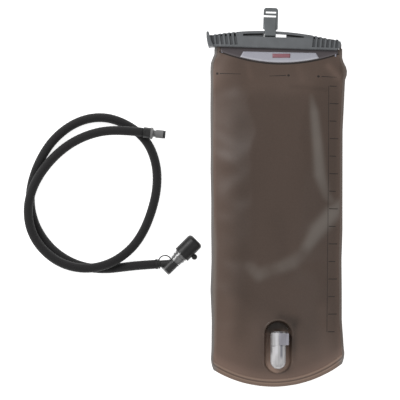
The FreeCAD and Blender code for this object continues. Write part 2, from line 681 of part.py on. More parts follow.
def make_plug():
    """The quick-connect plug at the reservoir end of the hose."""
    start = Vector(*HOSE_ROUTE[0])
    axis = unit(start - Vector(*HOSE_ROUTE[1]))

    def disc(radius, low, high):
        return rod(radius, start + axis * low, axis, high - low)

    grip = disc(GRIP_RADIUS, 0.1, GRIP_LENGTH).cut(disc(TUBE_RADIUS + 0.1, 0, PLUG_TUBE + 0.1))
    grip = grip.cut(disc(BARB_RADIUS + 0.1, 0, GRIP_LENGTH + 1))
    recess = rod(3.4, start + axis * 5.2 + UP * (GRIP_RADIUS - 0.9), UP, 3)
    recess_end = rod(3.4, start + axis * 7.6 + UP * (GRIP_RADIUS - 0.9), UP, 3)
    grip = cut_all(grip, recess, recess_end)
    flange = disc(FLANGE_RADIUS, GRIP_LENGTH, FLANGE_END)
    cone_start = start + axis * FLANGE_END
    cone = Part.makeCone(FLANGE_RADIUS - 0.4, NECK_RADIUS, CONE_END - FLANGE_END, cone_start, axis)
    neck = disc(NECK_RADIUS, CONE_END, NECK_END)
    barrel = disc(BARREL_RADIUS, NECK_END, BARREL_END)
    tip = disc(BARREL_RADIUS - 1.0, BARREL_END, TIP_END - 0.6)
    nose = disc(BARREL_RADIUS - 0.3, TIP_END - 0.6, TIP_END)
    barb = disc(BARB_RADIUS, GRIP_LENGTH - BARB_LENGTH, GRIP_LENGTH)
    body = fuse(flange, cone, neck, barrel, tip, nose, barb)
    body = body.cut(disc(PLUG_BORE, GRIP_LENGTH - BARB_LENGTH - 1, TIP_END + 1))
    seal_start = start + axis * (BARREL_END + 0.05)
    seal = ring(SEAL_RADIUS, BARREL_RADIUS - 1.0, seal_start, axis, TIP_END - 0.7 - BARREL_END)
    save("plug_grip", grip)
    save("plug_body", body)
    save("plug_seal", seal)


# --- the bite valve ---------------------------------------------------------------------------
def valve_axes():
    """The valve's start, its axis, the hose's end direction and the point where the two axes meet."""
    end = Vector(*HOSE_ROUTE[-1])
    arriving = unit(end - Vector(*HOSE_ROUTE[-2]))
    meeting = end + arriving * MEETING
    angle = math.radians(VALVE_ANGLE)
    axis = Vector(math.cos(angle), math.sin(angle), 0)
    return meeting - axis * MEETING_ALONG, axis, arriving, meeting


def make_valve():
    start, axis, arriving, meeting = valve_axes()

    def disc(radius, low, high):
        return rod(radius, start + axis * low, axis, high - low)

    barrel = disc(ELBOW_RADIUS, *ELBOW_ENDS)
    tube_stop = MEETING - VALVE_TUBE
    branch = rod(TUBE_RADIUS, meeting - arriving * tube_stop, arriving, tube_stop - 6)
    barb = rod(BARB_RADIUS, meeting - arriving * (tube_stop + 14), arriving, 15)
    waterway = rod(WATERWAY, meeting - arriving * (tube_stop + 15), arriving, tube_stop + 14)
    elbow = fuse(barrel, branch, barb)
    rim_room = disc(CAP_RADIUS, -3, ELBOW_ENDS[0])
    elbow = cut_all(elbow, disc(ELBOW_BORE, 0, ELBOW_ENDS[1] + 1), waterway, rim_room)
    save("valve_elbow", elbow)

    cap = fuse(disc(CAP_RADIUS, 0, ELBOW_ENDS[0]), disc(ELBOW_BORE, ELBOW_ENDS[0], ELBOW_ENDS[0] + 1.4))
    save("elbow_cap", cap.cut(disc(2.0, -1, 0.8)))

    core = disc(CORE_VALVE_RADIUS, 3.8, HEAD_START)
    collar = disc(HEAD_COLLAR_RADIUS, HEAD_START, HEAD_BODY[0])
    body = disc(HEAD_RADIUS, *HEAD_BODY)
    flange = disc(HEAD_FLANGE_RADIUS, *HEAD_FLANGE)
    spigot = disc(SPIGOT_RADIUS, HEAD_BODY[1], SPIGOT_END)
    nipple = disc(NIPPLE_RADIUS, SPIGOT_END, NIPPLE_END)
    head = fuse(core, collar, body, flange, spigot, nipple)
    seal_groove = ring(CORE_VALVE_RADIUS + 1, 3.7, start + axis * 14.1, axis, 1.1)
    head = cut_all(head, disc(WATERWAY + 0.2, 7.5, NIPPLE_END + 1), waterway, seal_groove)
    save("shutoff_head", head)
    save("shutoff_seal", ring(ELBOW_BORE - 0.05, 3.7, start + axis * 14.15, axis, 1.0))

    skirt = disc(8.2, SPIGOT_END, SPIGOT_END + 4)
    stem = disc(6.8, SPIGOT_END + 4, 47)
    bulb = disc(8.0, 47, BITE_END)
    bulb = bulb.makeFillet(2.4, [edge for edge in bulb.Edges if len(edge.Vertexes) == 1])
    bite = fuse(skirt, stem, bulb)
    bore = disc(NIPPLE_RADIUS, SPIGOT_END - 1, NIPPLE_END)
    bite = cut_all(bite, bore, disc(3.6, NIPPLE_END - 1, BITE_END - 2.5))
    slit_centre = start + axis * BITE_END
    slit = Part.makeBox(6, 0.4, 8, Vector(-3, -0.2, -4))
    slit.Placement = FreeCAD.Placement(slit_centre, FreeCAD.Rotation(UP, VALVE_ANGLE))
    save("bite_valve", bite.cut(slit))
    make_dust_cover(start, axis, disc)
    make_tether(start, axis, arriving)


def make_dust_cover(start, axis, disc):
    """The rubber cap over the mouthpiece, with a round knob at its side."""
    shell = disc(COVER_RADIUS, *COVER_ENDS)
    far_edge = [
        edge for edge in shell.Edges
        if len(edge.Vertexes) == 1 and (edge.CenterOfMass - start).dot(axis) > COVER_ENDS[1] - 1
    ]
    shell = shell.makeFillet(4.5, far_edge)
    side = Vector(axis.y, -axis.x, 0)
    foot = start + axis * KNOB_ALONG
    neck = rod(KNOB_RADIUS - 0.6, foot + side * (COVER_BORE + 0.5), side, KNOB_OFF - COVER_BORE)
    knob = Part.makeSphere(KNOB_RADIUS, foot + side * KNOB_OFF)
    cover = fuse(shell, neck, knob).cut(disc(COVER_BORE, COVER_ENDS[0] - 1, COVER_ENDS[1] - COVER_FLOOR))
    save("dust_cover", cover)


def make_tether(start, axis, arriving):
    """The leash: a ring on the tube, a ring on the valve's collar, and a strand."""
    end = Vector(*HOSE_ROUTE[-1])
    tube_ring = ring(6.3, TUBE_RADIUS + 0.3, end + arriving * 0.5, arriving, 2.0)
    collar_ring = ring(7.7, HEAD_COLLAR_RADIUS + 0.3, start + axis * 16.2, axis, 1.6)
    side = Vector(-axis.y, axis.x, 0)
    first = end + arriving * 1.5 + Vector(0, 5.6, 0)
    last = start + axis * 17.0 + side * 7.2
    middle = (first + last) * 0.5 + Vector(-1.0, 4.6, 1.5)
    route = Part.Wire([Part.Arc(first, middle, last).toShape()])
    direction = route.Edges[0].tangentAt(route.Edges[0].FirstParameter)
    strand = pipe(route, 0.8, first, direction)
    save("valve_tether", fuse(tube_ring, collar_ring, strand))


os.makedirs("parts", exist_ok=True)
make_films()
make_bottom_seam()
make_slider_bar()
make_mouth()
make_flap()
make_hanger_clip()
make_port_tray()
make_port_housing()
make_latch()
make_poppet()
make_hose()
make_plug()
make_valve()
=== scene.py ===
import math
import random

import bmesh
import bpy
import numpy as np
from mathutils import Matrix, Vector
from mathutils.bvhtree import BVHTree


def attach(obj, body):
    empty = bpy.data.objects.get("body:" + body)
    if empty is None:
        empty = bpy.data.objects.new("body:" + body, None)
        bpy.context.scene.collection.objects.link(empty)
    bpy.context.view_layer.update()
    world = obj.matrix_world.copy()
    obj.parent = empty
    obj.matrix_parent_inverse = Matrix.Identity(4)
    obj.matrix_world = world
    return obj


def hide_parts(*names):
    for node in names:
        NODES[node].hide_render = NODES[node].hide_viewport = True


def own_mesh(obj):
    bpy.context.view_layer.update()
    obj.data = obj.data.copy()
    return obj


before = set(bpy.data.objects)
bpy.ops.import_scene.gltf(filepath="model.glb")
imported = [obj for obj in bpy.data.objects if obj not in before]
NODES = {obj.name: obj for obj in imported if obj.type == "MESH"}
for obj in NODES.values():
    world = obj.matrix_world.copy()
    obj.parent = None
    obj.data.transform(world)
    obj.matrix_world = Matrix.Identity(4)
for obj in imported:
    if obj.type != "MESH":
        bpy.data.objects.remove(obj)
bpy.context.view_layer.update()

MM = 0.001

# --- camera and light ---
VIEW_CENTRE = (-0.1014, -0.0040)  # the spot that the camera looks straight down at
VIEW_WIDTH = 0.532  # what it takes in at the height of the bag
VIEW_HEIGHT = 0.010
LENS = 100.0
SENSOR = 36.0

# --- the bag's plan, in millimetres ---
WELD_Z = 7.9  # the height at which the films are welded together
FRONT_RISE = 13.4
FRONT_ROUNDING = 0.2  # share of the length over which it rises from the bottom
BACK_DROP = 7.2
BACK_ROUNDING = 0.12
MOUTH_TAPER = 0.42  # share of the length over which both flatten to the mouth
MOUTH_LINE = (-3.7, 200.3, -1.79)  # a point of the line where the film enters the bar, and its tilt
BOTTOM_CENTRE = (-4.0, -99.7)
BOTTOM_RADIUS = 153.0
BAND_WIDTH = 8.5  # the welded band round the bottom
RIM_WIDTH = 2.2  # the narrow rim along the sides
RIM_LAP = 1.6  # how far the rims reach in over the pouch
LEFT_EDGE = [
    (201, -81.4), (193, -82.5), (189, -82.5), (185, -84.6), (179.5, -87.0), (174, -87.4),
    (168, -87.7), (155, -87.4), (116, -87.7), (62, -87.3), (36, -87.5), (-4, -86.6), (-44, -86.7),
    (-84, -86.1), (-124, -87.6), (-164, -85.9), (-203, -86.3), (-217, -87.1), (-232, -84.5)]
RIGHT_EDGE = [
    (201, 87.8), (189, 88.0), (185, 87.9), (179.5, 89.7), (174, 92.6), (169, 94.6), (162, 94.0),
    (155.6, 91.8), (142, 91.1), (116, 89.9), (89, 88.6), (36, 88.4), (-44, 88.3), (-84, 87.1),
    (-124, 87.4), (-164, 87.4), (-203, 90.3), (-210, 91.3), (-217, 89.7), (-226, 89.0)]
TRAY_CENTRE = (1.85, -199.5)
TRAY_RADIUS = 18.5
TRAY_REACH = 18.0  # from its centre to the centres of its round ends
TRAY_FLOOR_Z = 8.5

# --- the bar, in its own axes: U along it, V towards the top of the bag, in millimetres ---
BAR_ORIGIN = (-3.7, 197.3)
BAR_TILT = -1.79
BAR_ARCH = ((-86.0, 15.0), (-12.0, 23.1), (89.0, 11.6))
# where the sheets of painted shade lie: in the pits, the grip's grooves and the groove under the
# rail
PIT_ROWS = ((-81.8, 9.0), (53.5, -4.0))  # the first pit's middle, and the slant in degrees
PITS_IN_ROW = 6
PIT_PITCH = 6.1
PIT_WIDTH = 2.5
PIT_V = (12.85, 1.75)  # its lower end, and how far under the arch it stops
LEAST_PIT = 0.5  # a shorter one is left out
PIT_Z = 6.5
GROOVE_WIDTH = 3.7
GROOVE_V = (3.1, 14.4)
GROOVE_Z = 12.75
RAIL_RUNS = ((-40.8, -13.3), (17.0, 39.8))
RAIL_V = (4.9, 3.35)  # how far under the arch the dark groove lies
RAIL_Z = 6.8
RAIL_POINTS = 20

# --- the port's springs, in millimetres ---
SPRINGS = [
    # name, CAD node, coil and wire radius, start, direction, length, turns; then the joint that
    # squeezes it, how far, and the share of its length at which its fixed end is
    ("latch_coil", "latch_spring", 1.7, 0.25, (10.05, -190.0, 15.85), (1, 0, 0), 3.7, 3,
     "latch_press", 1.2, 0),
    ("poppet_coil", "poppet_spring", 2.6, 0.35, (2.05, -200.45, 15.85), (0, -1, 0), 13.5, 6,
     "poppet_push", 3.0, 1),
]
STEPS_PER_TURN = 30
WIRE_SIDES = 10

# --- the hose, in metres ---
HOSE_DIAMETER = 0.0122
TUBE_DIAMETER = 0.0095
TUBE_INSET = 0.004  # how far inside the sleeve both visible tube ends start
PLUG_TUBE_REACH = 0.008  # how far they reach out of it
VALVE_TUBE_REACH = 0.0037
TUBE_RINGS = 6
RING_SPACING = 0.0012
SIDES = 32
SLEEVE_INSET = 0.0001
SOFT_DEPTH = 0.00012  # the sleeve's slow unevenness
YARN_DEPTH = 0.00007
YARNS = 8
YARN_TWIST = 1300.0  # radians in a metre
HEM_DEPTH = 0.0006
HEM_LENGTH = 0.0015
HOSE_ROUTE = [
    (-0.1762, 0.0854, 0.0200),
    (-0.2030, 0.0883, 0.0200),
    (-0.2360, 0.0870, 0.0168),
    (-0.2675, 0.0756, 0.0108),
    (-0.2935, 0.0563, 0.0096),
    (-0.3125, 0.0325, 0.0158),
    (-0.3240, 0.0090, 0.0196),
    (-0.3296, -0.0170, 0.0197),
    (-0.3255, -0.0450, 0.0196),
    (-0.3095, -0.0705, 0.0197),
    (-0.2835, -0.0895, 0.0196),
    (-0.2510, -0.0956, 0.0197),
    (-0.2198, -0.0888, 0.0186),
    (-0.1945, -0.0715, 0.0106),
    (-0.1775, -0.0485, 0.0062),
    (-0.1652, -0.0185, 0.0063),
    (-0.1582, 0.0140, 0.0062),
    (-0.1596, 0.0465, 0.0063),
    (-0.1722, 0.0760, 0.0062),
    (-0.1975, 0.0970, 0.0063),
    (-0.2295, 0.1078, 0.0062),
    (-0.2640, 0.1018, 0.0063),
    (-0.2945, 0.0805, 0.0062),
    (-0.3154, 0.0495, 0.0063),
    (-0.3272, 0.0160, 0.0062),
    (-0.3282, -0.0160, 0.0063),
    (-0.3175, -0.0475, 0.0062),
    (-0.2942, -0.0752, 0.0063),
    (-0.2620, -0.0930, 0.0062),
    (-0.2290, -0.0964, 0.0063),
    (-0.2035, -0.0934, 0.0076),
    (-0.1783, -0.0904, 0.0116),
    (-0.1573, -0.0890, 0.0116),
]


def make_camera():
    camera = bpy.data.objects.new("camera", bpy.data.cameras.new("camera"))
    bpy.context.scene.collection.objects.link(camera)
    camera.data.lens = LENS
    camera.data.sensor_width = SENSOR
    camera.data.clip_end = 20.0
    distance = VIEW_WIDTH * LENS / SENSOR
    camera.location = (VIEW_CENTRE[0], VIEW_CENTRE[1], VIEW_HEIGHT + distance)
    bpy.context.scene.camera = camera


def area_light(name, place, target, size, watts):
    data = bpy.data.lights.new(name, "AREA")
    data.shape = "RECTANGLE"
    data.size, data.size_y = size
    data.energy = watts
    light = bpy.data.objects.new(name, data)
    bpy.context.scene.collection.objects.link(light)
    light.location = place
    light.rotation_euler = (Vector(target) - Vector(place)).to_track_quat("-Z", "Y").to_euler()


def make_light():
    world = bpy.data.worlds.new("studio")
    bpy.context.scene.world = world
    world.use_nodes = True
    background = world.node_tree.nodes["Background"]
    background.inputs["Color"].default_value = (1.0, 1.0, 1.0, 1.0)
    background.inputs["Strength"].default_value = 0.46
    area_light("key", (-1.3, 1.0, 1.4), (-0.05, 0, 0), (0.8, 1.0), 23)
    area_light("fill", (0.9, -0.8, 1.9), (-0.1, 0, 0), (1.6, 1.6), 3)
    bpy.context.scene.view_settings.view_transform = "Standard"


# --- materials ---
CLOUDS = 0.10  # how much the film's tone varies softly, and how much finely
GRAIN = 0.08
class Shader:
    """A Principled material with small helpers for the procedural nodes that feed it."""

    def __init__(self, name, colour, roughness, **inputs):
        self.material = bpy.data.materials.new(name)
        self.material.use_nodes = True
        self.tree = self.material.node_tree
        self.surface = self.tree.nodes["Principled BSDF"]
        self.set("Base Color", (*colour, 1.0))
        self.set("Roughness", roughness)
        for key, value in inputs.items():
            self.set(key.replace("_", " "), value)
        self.place = self.tree.nodes.new("ShaderNodeTexCoord")

    def set(self, socket, value):
        self.surface.inputs[socket].default_value = value

    def link(self, source, target):
        self.tree.links.new(source, target)

    def scaled(self, scale, source="Object"):
        mapping = self.tree.nodes.new("ShaderNodeMapping")
        mapping.inputs["Scale"].default_value = scale
        self.link(self.place.outputs[source], mapping.inputs["Vector"])
        return mapping.outputs["Vector"]

    def noise(self, scale, detail=3.0, stretch=(1, 1, 1)):
        node = self.tree.nodes.new("ShaderNodeTexNoise")
        node.inputs["Scale"].default_value = scale
        node.inputs["Detail"].default_value = detail
        self.link(self.scaled(stretch), node.inputs["Vector"])
        return node.outputs["Fac"]

    def diagonal_wave(self, scale, stretch):
        node = self.tree.nodes.new("ShaderNodeTexWave")
        node.bands_direction = "DIAGONAL"
        node.inputs["Scale"].default_value = scale
        self.link(self.scaled(stretch, "UV"), node.inputs["Vector"])
        return node.outputs["Fac"]

    def attribute(self, name):
        node = self.tree.nodes.new("ShaderNodeAttribute")
        node.attribute_name = name
        return node.outputs["Fac"]

    def ramp(self, value, low, high):
        node = self.tree.nodes.new("ShaderNodeMapRange")
        node.inputs["From Min"].default_value = low
        node.inputs["From Max"].default_value = high
        self.link(value, node.inputs["Value"])
        return node.outputs["Result"]

    def maths(self, operation, first, second):
        node = self.tree.nodes.new("ShaderNodeMath")
        node.operation = operation
        for socket, value in zip(node.inputs, (first, second)):
            if isinstance(value, (int, float)):
                socket.default_value = value
            else:
                self.link(value, socket)
        return node.outputs[0]

    def mix(self, factor, first, second):
        """A blend of two colours, each a tuple or a socket."""
        node = self.tree.nodes.new("ShaderNodeMix")
        node.data_type = "RGBA"
        self.link(factor, node.inputs[0])
        for socket, value in ((node.inputs[6], first), (node.inputs[7], second)):
            if isinstance(value, tuple):
                socket.default_value = (*value, 1.0)
            else:
                self.link(value, socket)
        return node.outputs[2]

    def paint(self, colour):
        self.link(colour, self.surface.inputs["Base Color"])
        return self

    def gloss(self, value, low, high):
        node = self.tree.nodes.new("ShaderNodeMapRange")
        node.inputs["To Min"].default_value = low
        node.inputs["To Max"].default_value = high
        self.link(value, node.inputs["Value"])
        self.link(node.outputs["Result"], self.surface.inputs["Roughness"])
        return self

    def bump(self, height, strength, distance):
        node = self.tree.nodes.new("ShaderNodeBump")
        node.inputs["Strength"].default_value = strength
        node.inputs["Distance"].default_value = distance
        self.link(height, node.inputs["Height"])
        self.link(node.outputs["Normal"], self.surface.inputs["Normal"])
        return self


def tint(colour, factor):
    return tuple(min(channel * factor, 1.0) for channel in colour)


def film_material(name, dark, light, cool=(0.215, 0.192, 0.170), roughness=0.34):
    """Translucent TPU film: its tone runs from dark to light, with cool painted sheens and a fine
    grain.
    """
    film = Shader(name, dark, roughness, Coat_Weight=0.12, Coat_Roughness=0.35, IOR=1.45)
    cloud = film.maths("MULTIPLY", film.noise(9.0, stretch=(1.0, 0.45, 1.0)), CLOUDS)
    grain = film.maths("MULTIPLY", film.noise(420.0, 2.0), GRAIN)
    tone = film.maths("ADD", film.attribute("tone"), film.maths("ADD", cloud, grain))
    body = film.mix(film.maths("SUBTRACT", tone, (CLOUDS + GRAIN) / 2), dark, light)
    film.paint(film.mix(film.attribute("cool"), body, cool))
    film.gloss(film.noise(35.0), roughness - 0.06, roughness + 0.1)
    film.bump(film.noise(900.0, 2.0), 0.25, 0.00004)
    return film.material


def moulded_material(name, colour, roughness):
    """Injection-moulded plastic: fine spark texture, faint mottling, paler scuffs."""
    plastic = Shader(name, colour, roughness)
    mottling = plastic.ramp(plastic.noise(60.0, 4.0), 0.35, 0.7)
    mottled = plastic.mix(mottling, tint(colour, 0.9), tint(colour, 1.1))
    scuffs = plastic.ramp(plastic.noise(240.0, 5.0, (1.0, 0.2, 1.0)), 0.66, 0.74)
    plastic.paint(plastic.mix(scuffs, mottled, tint(colour, 1.3)))
    plastic.gloss(plastic.noise(150.0), roughness - 0.06, roughness + 0.12)
    plastic.bump(plastic.noise(2600.0, 2.0), 0.35, 0.00003)
    return plastic.material


def woven_material(name, colour):
    """The sleeve's tight weave, two sets of yarns that cross slantwise, with a little fluff."""
    cloth = Shader(name, colour, 0.82, Sheen_Weight=0.15, Sheen_Roughness=0.5,
                   Specular_IOR_Level=0.3)
    across, along, size = 40.0, 1300.0, 0.157
    one = cloth.diagonal_wave(size, (across, along, 1.0))
    two = cloth.diagonal_wave(size, (-across, along, 1.0))
    weave = cloth.maths("MAXIMUM", one, two)
    fluff = cloth.ramp(cloth.noise(700.0, 4.0), 0.35, 0.75)
    base = cloth.mix(weave, tint(colour, 0.55), tint(colour, 1.25))
    cloth.paint(cloth.mix(fluff, base, tint(colour, 1.5)))
    cloth.bump(cloth.maths("ADD", weave, cloth.maths("MULTIPLY", fluff, 0.4)), 0.8, 0.00018)
    return cloth.material


def rubber_material(name, colour, roughness=0.5):
    rubber = Shader(name, colour, roughness, Specular_IOR_Level=0.4)
    bloom = rubber.ramp(rubber.noise(80.0, 5.0), 0.4, 0.75)
    rubber.paint(rubber.mix(bloom, colour, tint(colour, 1.7)))
    rubber.gloss(rubber.noise(120.0), roughness - 0.1, roughness + 0.15)
    rubber.bump(rubber.noise(1500.0, 3.0), 0.3, 0.00005)
    return rubber.material


def clear_material(name, colour, transmission, roughness, painted_light_stripes=()):
    """Frosted clear plastic with flow lines from its moulding, and stripes of painted highlight and
    painted shade along it. Each stripe is given by its middle in X, its half width, the Y that it
    ends at and its colour, in metres."""
    clear = Shader(name, colour, roughness, Transmission_Weight=transmission, IOR=1.49,
                   Coat_Weight=0.6, Coat_Roughness=0.08)
    flow = clear.ramp(clear.noise(260.0, stretch=(1.0, 0.12, 1.0)), 0.35, 0.65)
    body = clear.mix(flow, tint(colour, 0.82), tint(colour, 1.15))
    place = clear.tree.nodes.new("ShaderNodeSeparateXYZ")
    clear.link(clear.place.outputs["Object"], place.inputs["Vector"])
    # painted highlights and painted shade, one stripe at a time
    for middle, reach, end, shade in painted_light_stripes:
        gap = clear.maths("ABSOLUTE", clear.maths("SUBTRACT", place.outputs["X"], middle), 0.0)
        across = clear.ramp(gap, reach, 0.3 * reach)
        along = clear.ramp(place.outputs["Y"], end - 0.004, end + 0.002)
        body = clear.mix(clear.maths("MULTIPLY", across, along), body, shade)
    clear.paint(body)
    clear.bump(clear.noise(500.0, 2.0), 0.15, 0.00005)
    return clear.material


def steel_material(name):
    steel = Shader(name, (0.6, 0.6, 0.62), 0.3, Metallic=1.0)
    steel.gloss(steel.noise(800.0), 0.22, 0.4)
    steel.paint(steel.mix(steel.noise(300.0), (0.5, 0.5, 0.52), (0.7, 0.7, 0.71)))
    return steel.material


def make_materials():
    dark, light = (0.030, 0.019, 0.013), (0.235, 0.156, 0.122)
    return {
        "film": film_material("film", dark, light),
        "band": film_material("band", dark, (0.30, 0.205, 0.158), (0.24, 0.24, 0.235), 0.3),
        # the recess's colours: a darker dark for its painted shadow and a lighter light for the
        # painted light on its floor
        "recess": film_material("recess", (0.010, 0.007, 0.004), (0.33, 0.225, 0.175),
                                roughness=0.4),
        "flap": film_material("flap", (0.060, 0.048, 0.052), (0.20, 0.18, 0.19), roughness=0.3),
        # also the colour of the painted shadow lines under the flap's edge and the bar
        "print": rubber_material("print", (0.022, 0.016, 0.013), 0.4),
        "label": film_material("label", (0.33, 0.33, 0.39), (0.86, 0.86, 0.90), roughness=0.45),
        "label_mark": moulded_material("label_mark", (0.30, 0.125, 0.15), 0.45),
        # the colour of the painted shade in the grip's grooves
        "bar_shade": moulded_material("bar_shade", (0.085, 0.090, 0.096), 0.5),
        "bar": moulded_material("bar", (0.142, 0.150, 0.158), 0.42),
        "clip": moulded_material("clip", (0.142, 0.153, 0.158), 0.4),
        # the port's stripes: painted shade on its right, a painted highlight left of its middle,
        # painted shade on its left
        "port": clear_material("port", (0.74, 0.73, 0.74), 0.25, 0.2, (
            (0.0057, 0.0026, -0.211, (0.30, 0.30, 0.34)),
            (-0.0005, 0.0026, -0.206, (0.95, 0.94, 0.97)),
            (-0.0072, 0.0022, -0.206, (0.36, 0.34, 0.34)))),
        "button": clear_material("button", (0.37, 0.36, 0.41), 0.1, 0.3),
        "grey": moulded_material("grey", (0.19, 0.19, 0.19), 0.38),
        "smoke": clear_material("smoke", (0.17, 0.17, 0.17), 0.15, 0.18),
        "black": moulded_material("black", (0.016, 0.016, 0.016), 0.4),
        "rubber": rubber_material("rubber", (0.013, 0.013, 0.013)),
        "cover": rubber_material("cover", (0.010, 0.010, 0.010), 0.4),
        "sleeve": woven_material("sleeve", (0.0135, 0.013, 0.0135)),
        "tube": rubber_material("tube", (0.010, 0.010, 0.010), 0.18),
        "silicone": rubber_material("silicone", (0.075, 0.078, 0.082), 0.35),
        "steel": steel_material("steel"),
    }


CAD_FINISHES = {
    "slider_bar": "bar", "mouth_core": "bar", "mouth_fold": "flap", "hanger_clip": "clip",
    "port_housing": "port", "latch_button": "button", "latch_spring": "steel", "poppet": "grey",
    "poppet_gasket": "rubber", "poppet_spring": "steel", "sleeve_cuff": "rubber",
    "plug_grip": "black", "plug_body": "grey", "plug_seal": "rubber", "valve_elbow": "black",
    "elbow_cap": "grey", "valve_tether": "rubber", "shutoff_head": "smoke",
    "shutoff_seal": "rubber", "bite_valve": "silicone", "dust_cover": "cover",
}


def finish_cad_nodes(materials):
    for node, finish in CAD_FINISHES.items():
        slots = NODES[node].data.materials
        if not len(slots):
            slots.append(None)
        for index in range(len(slots)):
            slots[index] = materials[finish]


# --- mesh helpers ---
def mesh_object(name, points, faces, material, smooth=True):
    """An object from points in metres."""
    mesh = bpy.data.meshes.new(name)
    mesh.from_pydata([tuple(point) for point in points], [], faces)
    mesh.validate()
    if smooth:
        mesh.shade_smooth()
    else:
        mesh.shade_flat()
    mesh.materials.append(material)
    piece = bpy.data.objects.new(name, mesh)
    bpy.context.scene.collection.objects.link(piece)
    return piece


def strip_faces(rows, columns, closed=False):
    """Quads between successive rows of points."""
    faces = []
    span = columns if closed else columns - 1
    for row in range(rows - 1):
        for column in range(span):
            a = row * columns + column
            b = row * columns + (column + 1) % columns
            faces.append((a, b, b + columns, a + columns))
    return faces


def apply_modifiers(piece):
    evaluated = piece.evaluated_get(bpy.context.evaluated_depsgraph_get())
    mesh = bpy.data.meshes.new_from_object(evaluated)
    piece.modifiers.clear()
    piece.data = mesh


def direction_at(path, count):
    before, after = path[max(count - 1, 0)], path[min(count + 1, len(path) - 1)]
    return (Vector(after) - Vector(before)).normalized()


def thicken(piece, thickness, offset):
    modifier = piece.modifiers.new("thickness", "SOLIDIFY")
    modifier.thickness = thickness
    modifier.offset = offset
    apply_modifiers(piece)


def point_attribute(piece, name, values):
    attribute = piece.data.attributes.new(name, "FLOAT", "POINT")
    attribute.data.foreach_set("value", np.asarray(values, np.float32))


def clamp(value, low, high):
    return min(max(value, low), high)


def smooth_step(value):
    """A smooth rise from 0 to 1 between 0 and 1."""
    value = clamp(value, 0.0, 1.0)
    return value * value * (3 - 2 * value)


def rise(value, start, run):
    """0 up to start, then up to 1 over a run."""
    return smooth_step((value - start) / run)


def fade(distance, reach):
    """1 at no distance, and down to 0 at reach."""
    return smooth_step(1 - distance / reach)


# --- the bag ---
ACROSS = 63  # points of each film across the bag, and along it
ALONG = 151
FIRST_GUESS = (-250, 450)  # the lowest Y and the length that the search for a Y starts from
GUESSES = 4
TRAY_PINS = 3.0  # the simulation keeps off the recess by this, in millimetres,
MOUTH_PINS = 0.985  # and off the mouth beyond this share of the length
CREASE_RISE = 1.5  # how fast the creases come up from the rims
SIMULATED_FRAMES = 22
SOFTENING = 14  # rounds that spread out the simulated puckers
SPREAD = 0.6  # what each round takes from the neighbouring points
MOST_SHIFT = 3.2 * MM
LEAST_HEIGHT = 0.3 * MM
FACING_UP = 0.2  # least upward share of a front face's normal


def mouth_y(x):
    return MOUTH_LINE[1] + (x - MOUTH_LINE[0]) * math.tan(math.radians(MOUTH_LINE[2]))


def bottom_y(x, inset=0.0):
    reach = (BOTTOM_RADIUS - inset) ** 2 - (x - BOTTOM_CENTRE[0]) ** 2
    return BOTTOM_CENTRE[1] - math.sqrt(reach)


def edge_x(edge, y):
    heights = [point[0] for point in reversed(edge)]
    reaches = [point[1] for point in reversed(edge)]
    return float(np.interp(y, heights, reaches))


def bag_plan(across, along, side_inset, bottom_inset):
    """Plan position of a spot given as shares across (-1 to 1) and along (0 to 1)."""
    guess_y = FIRST_GUESS[0] + along * FIRST_GUESS[1]
    for _ in range(GUESSES):
        left = edge_x(LEFT_EDGE, guess_y) + side_inset
        right = edge_x(RIGHT_EDGE, guess_y) - side_inset
        x = (left + right) / 2 + across * (right - left) / 2
        low = bottom_y(x, bottom_inset)
        guess_y = low + along * (mouth_y(x) - low)
    return x, guess_y


def swell(across, along, rounding):
    """How far the film stands off its rims, from 0 to 1."""
    from_seam = 1 - (1 - min(along / rounding, 1.0)) ** 2
    from_mouth = rise(1 - along, 0, MOUTH_TAPER)
    return (1 - abs(across) ** 4) * from_seam * from_mouth


CREASES = [
    # x, y of both ends, width, height: soft folds of the slack film, in millimetres
    (60, 133, 56, -8, 11, 0.9),
    (78, -24, 12, -90, 9, 1.0),
    (12, -90, -28, -104, 9, 0.8),
    (22, -200, 24, -236, 5, 0.5),
    (76, 178, 40, 120, 10, 0.8),
    (-70, 172, -40, 120, 11, 0.7),
    (-62, 90, -70, -60, 12, 0.5),
    (-50, -150, -76, -205, 11, 0.6),
    (52, -150, 78, -200, 11, 0.6),
    (0, 90, -14, -20, 24, -0.8),
]


def off_line(x, y, x0, y0, x1, y1):
    """How far along a line the nearest spot is, as a share of its length, and how far off."""
    run = np.array([x1 - x0, y1 - y0])
    share = clamp(np.dot([x - x0, y - y0], run) / np.dot(run, run), 0.0, 1.0)
    near = np.array([x0, y0]) + run * share
    return share, np.hypot(x - near[0], y - near[1])


def crease_height(x, y):
    total = 0.0
    for *ends, width, height in CREASES:
        share, gap = off_line(x, y, *ends)
        strength = 1.0 - 0.5 * abs(2 * share - 1)
        total += height * strength * math.exp(-(gap / width) ** 2)
    return total


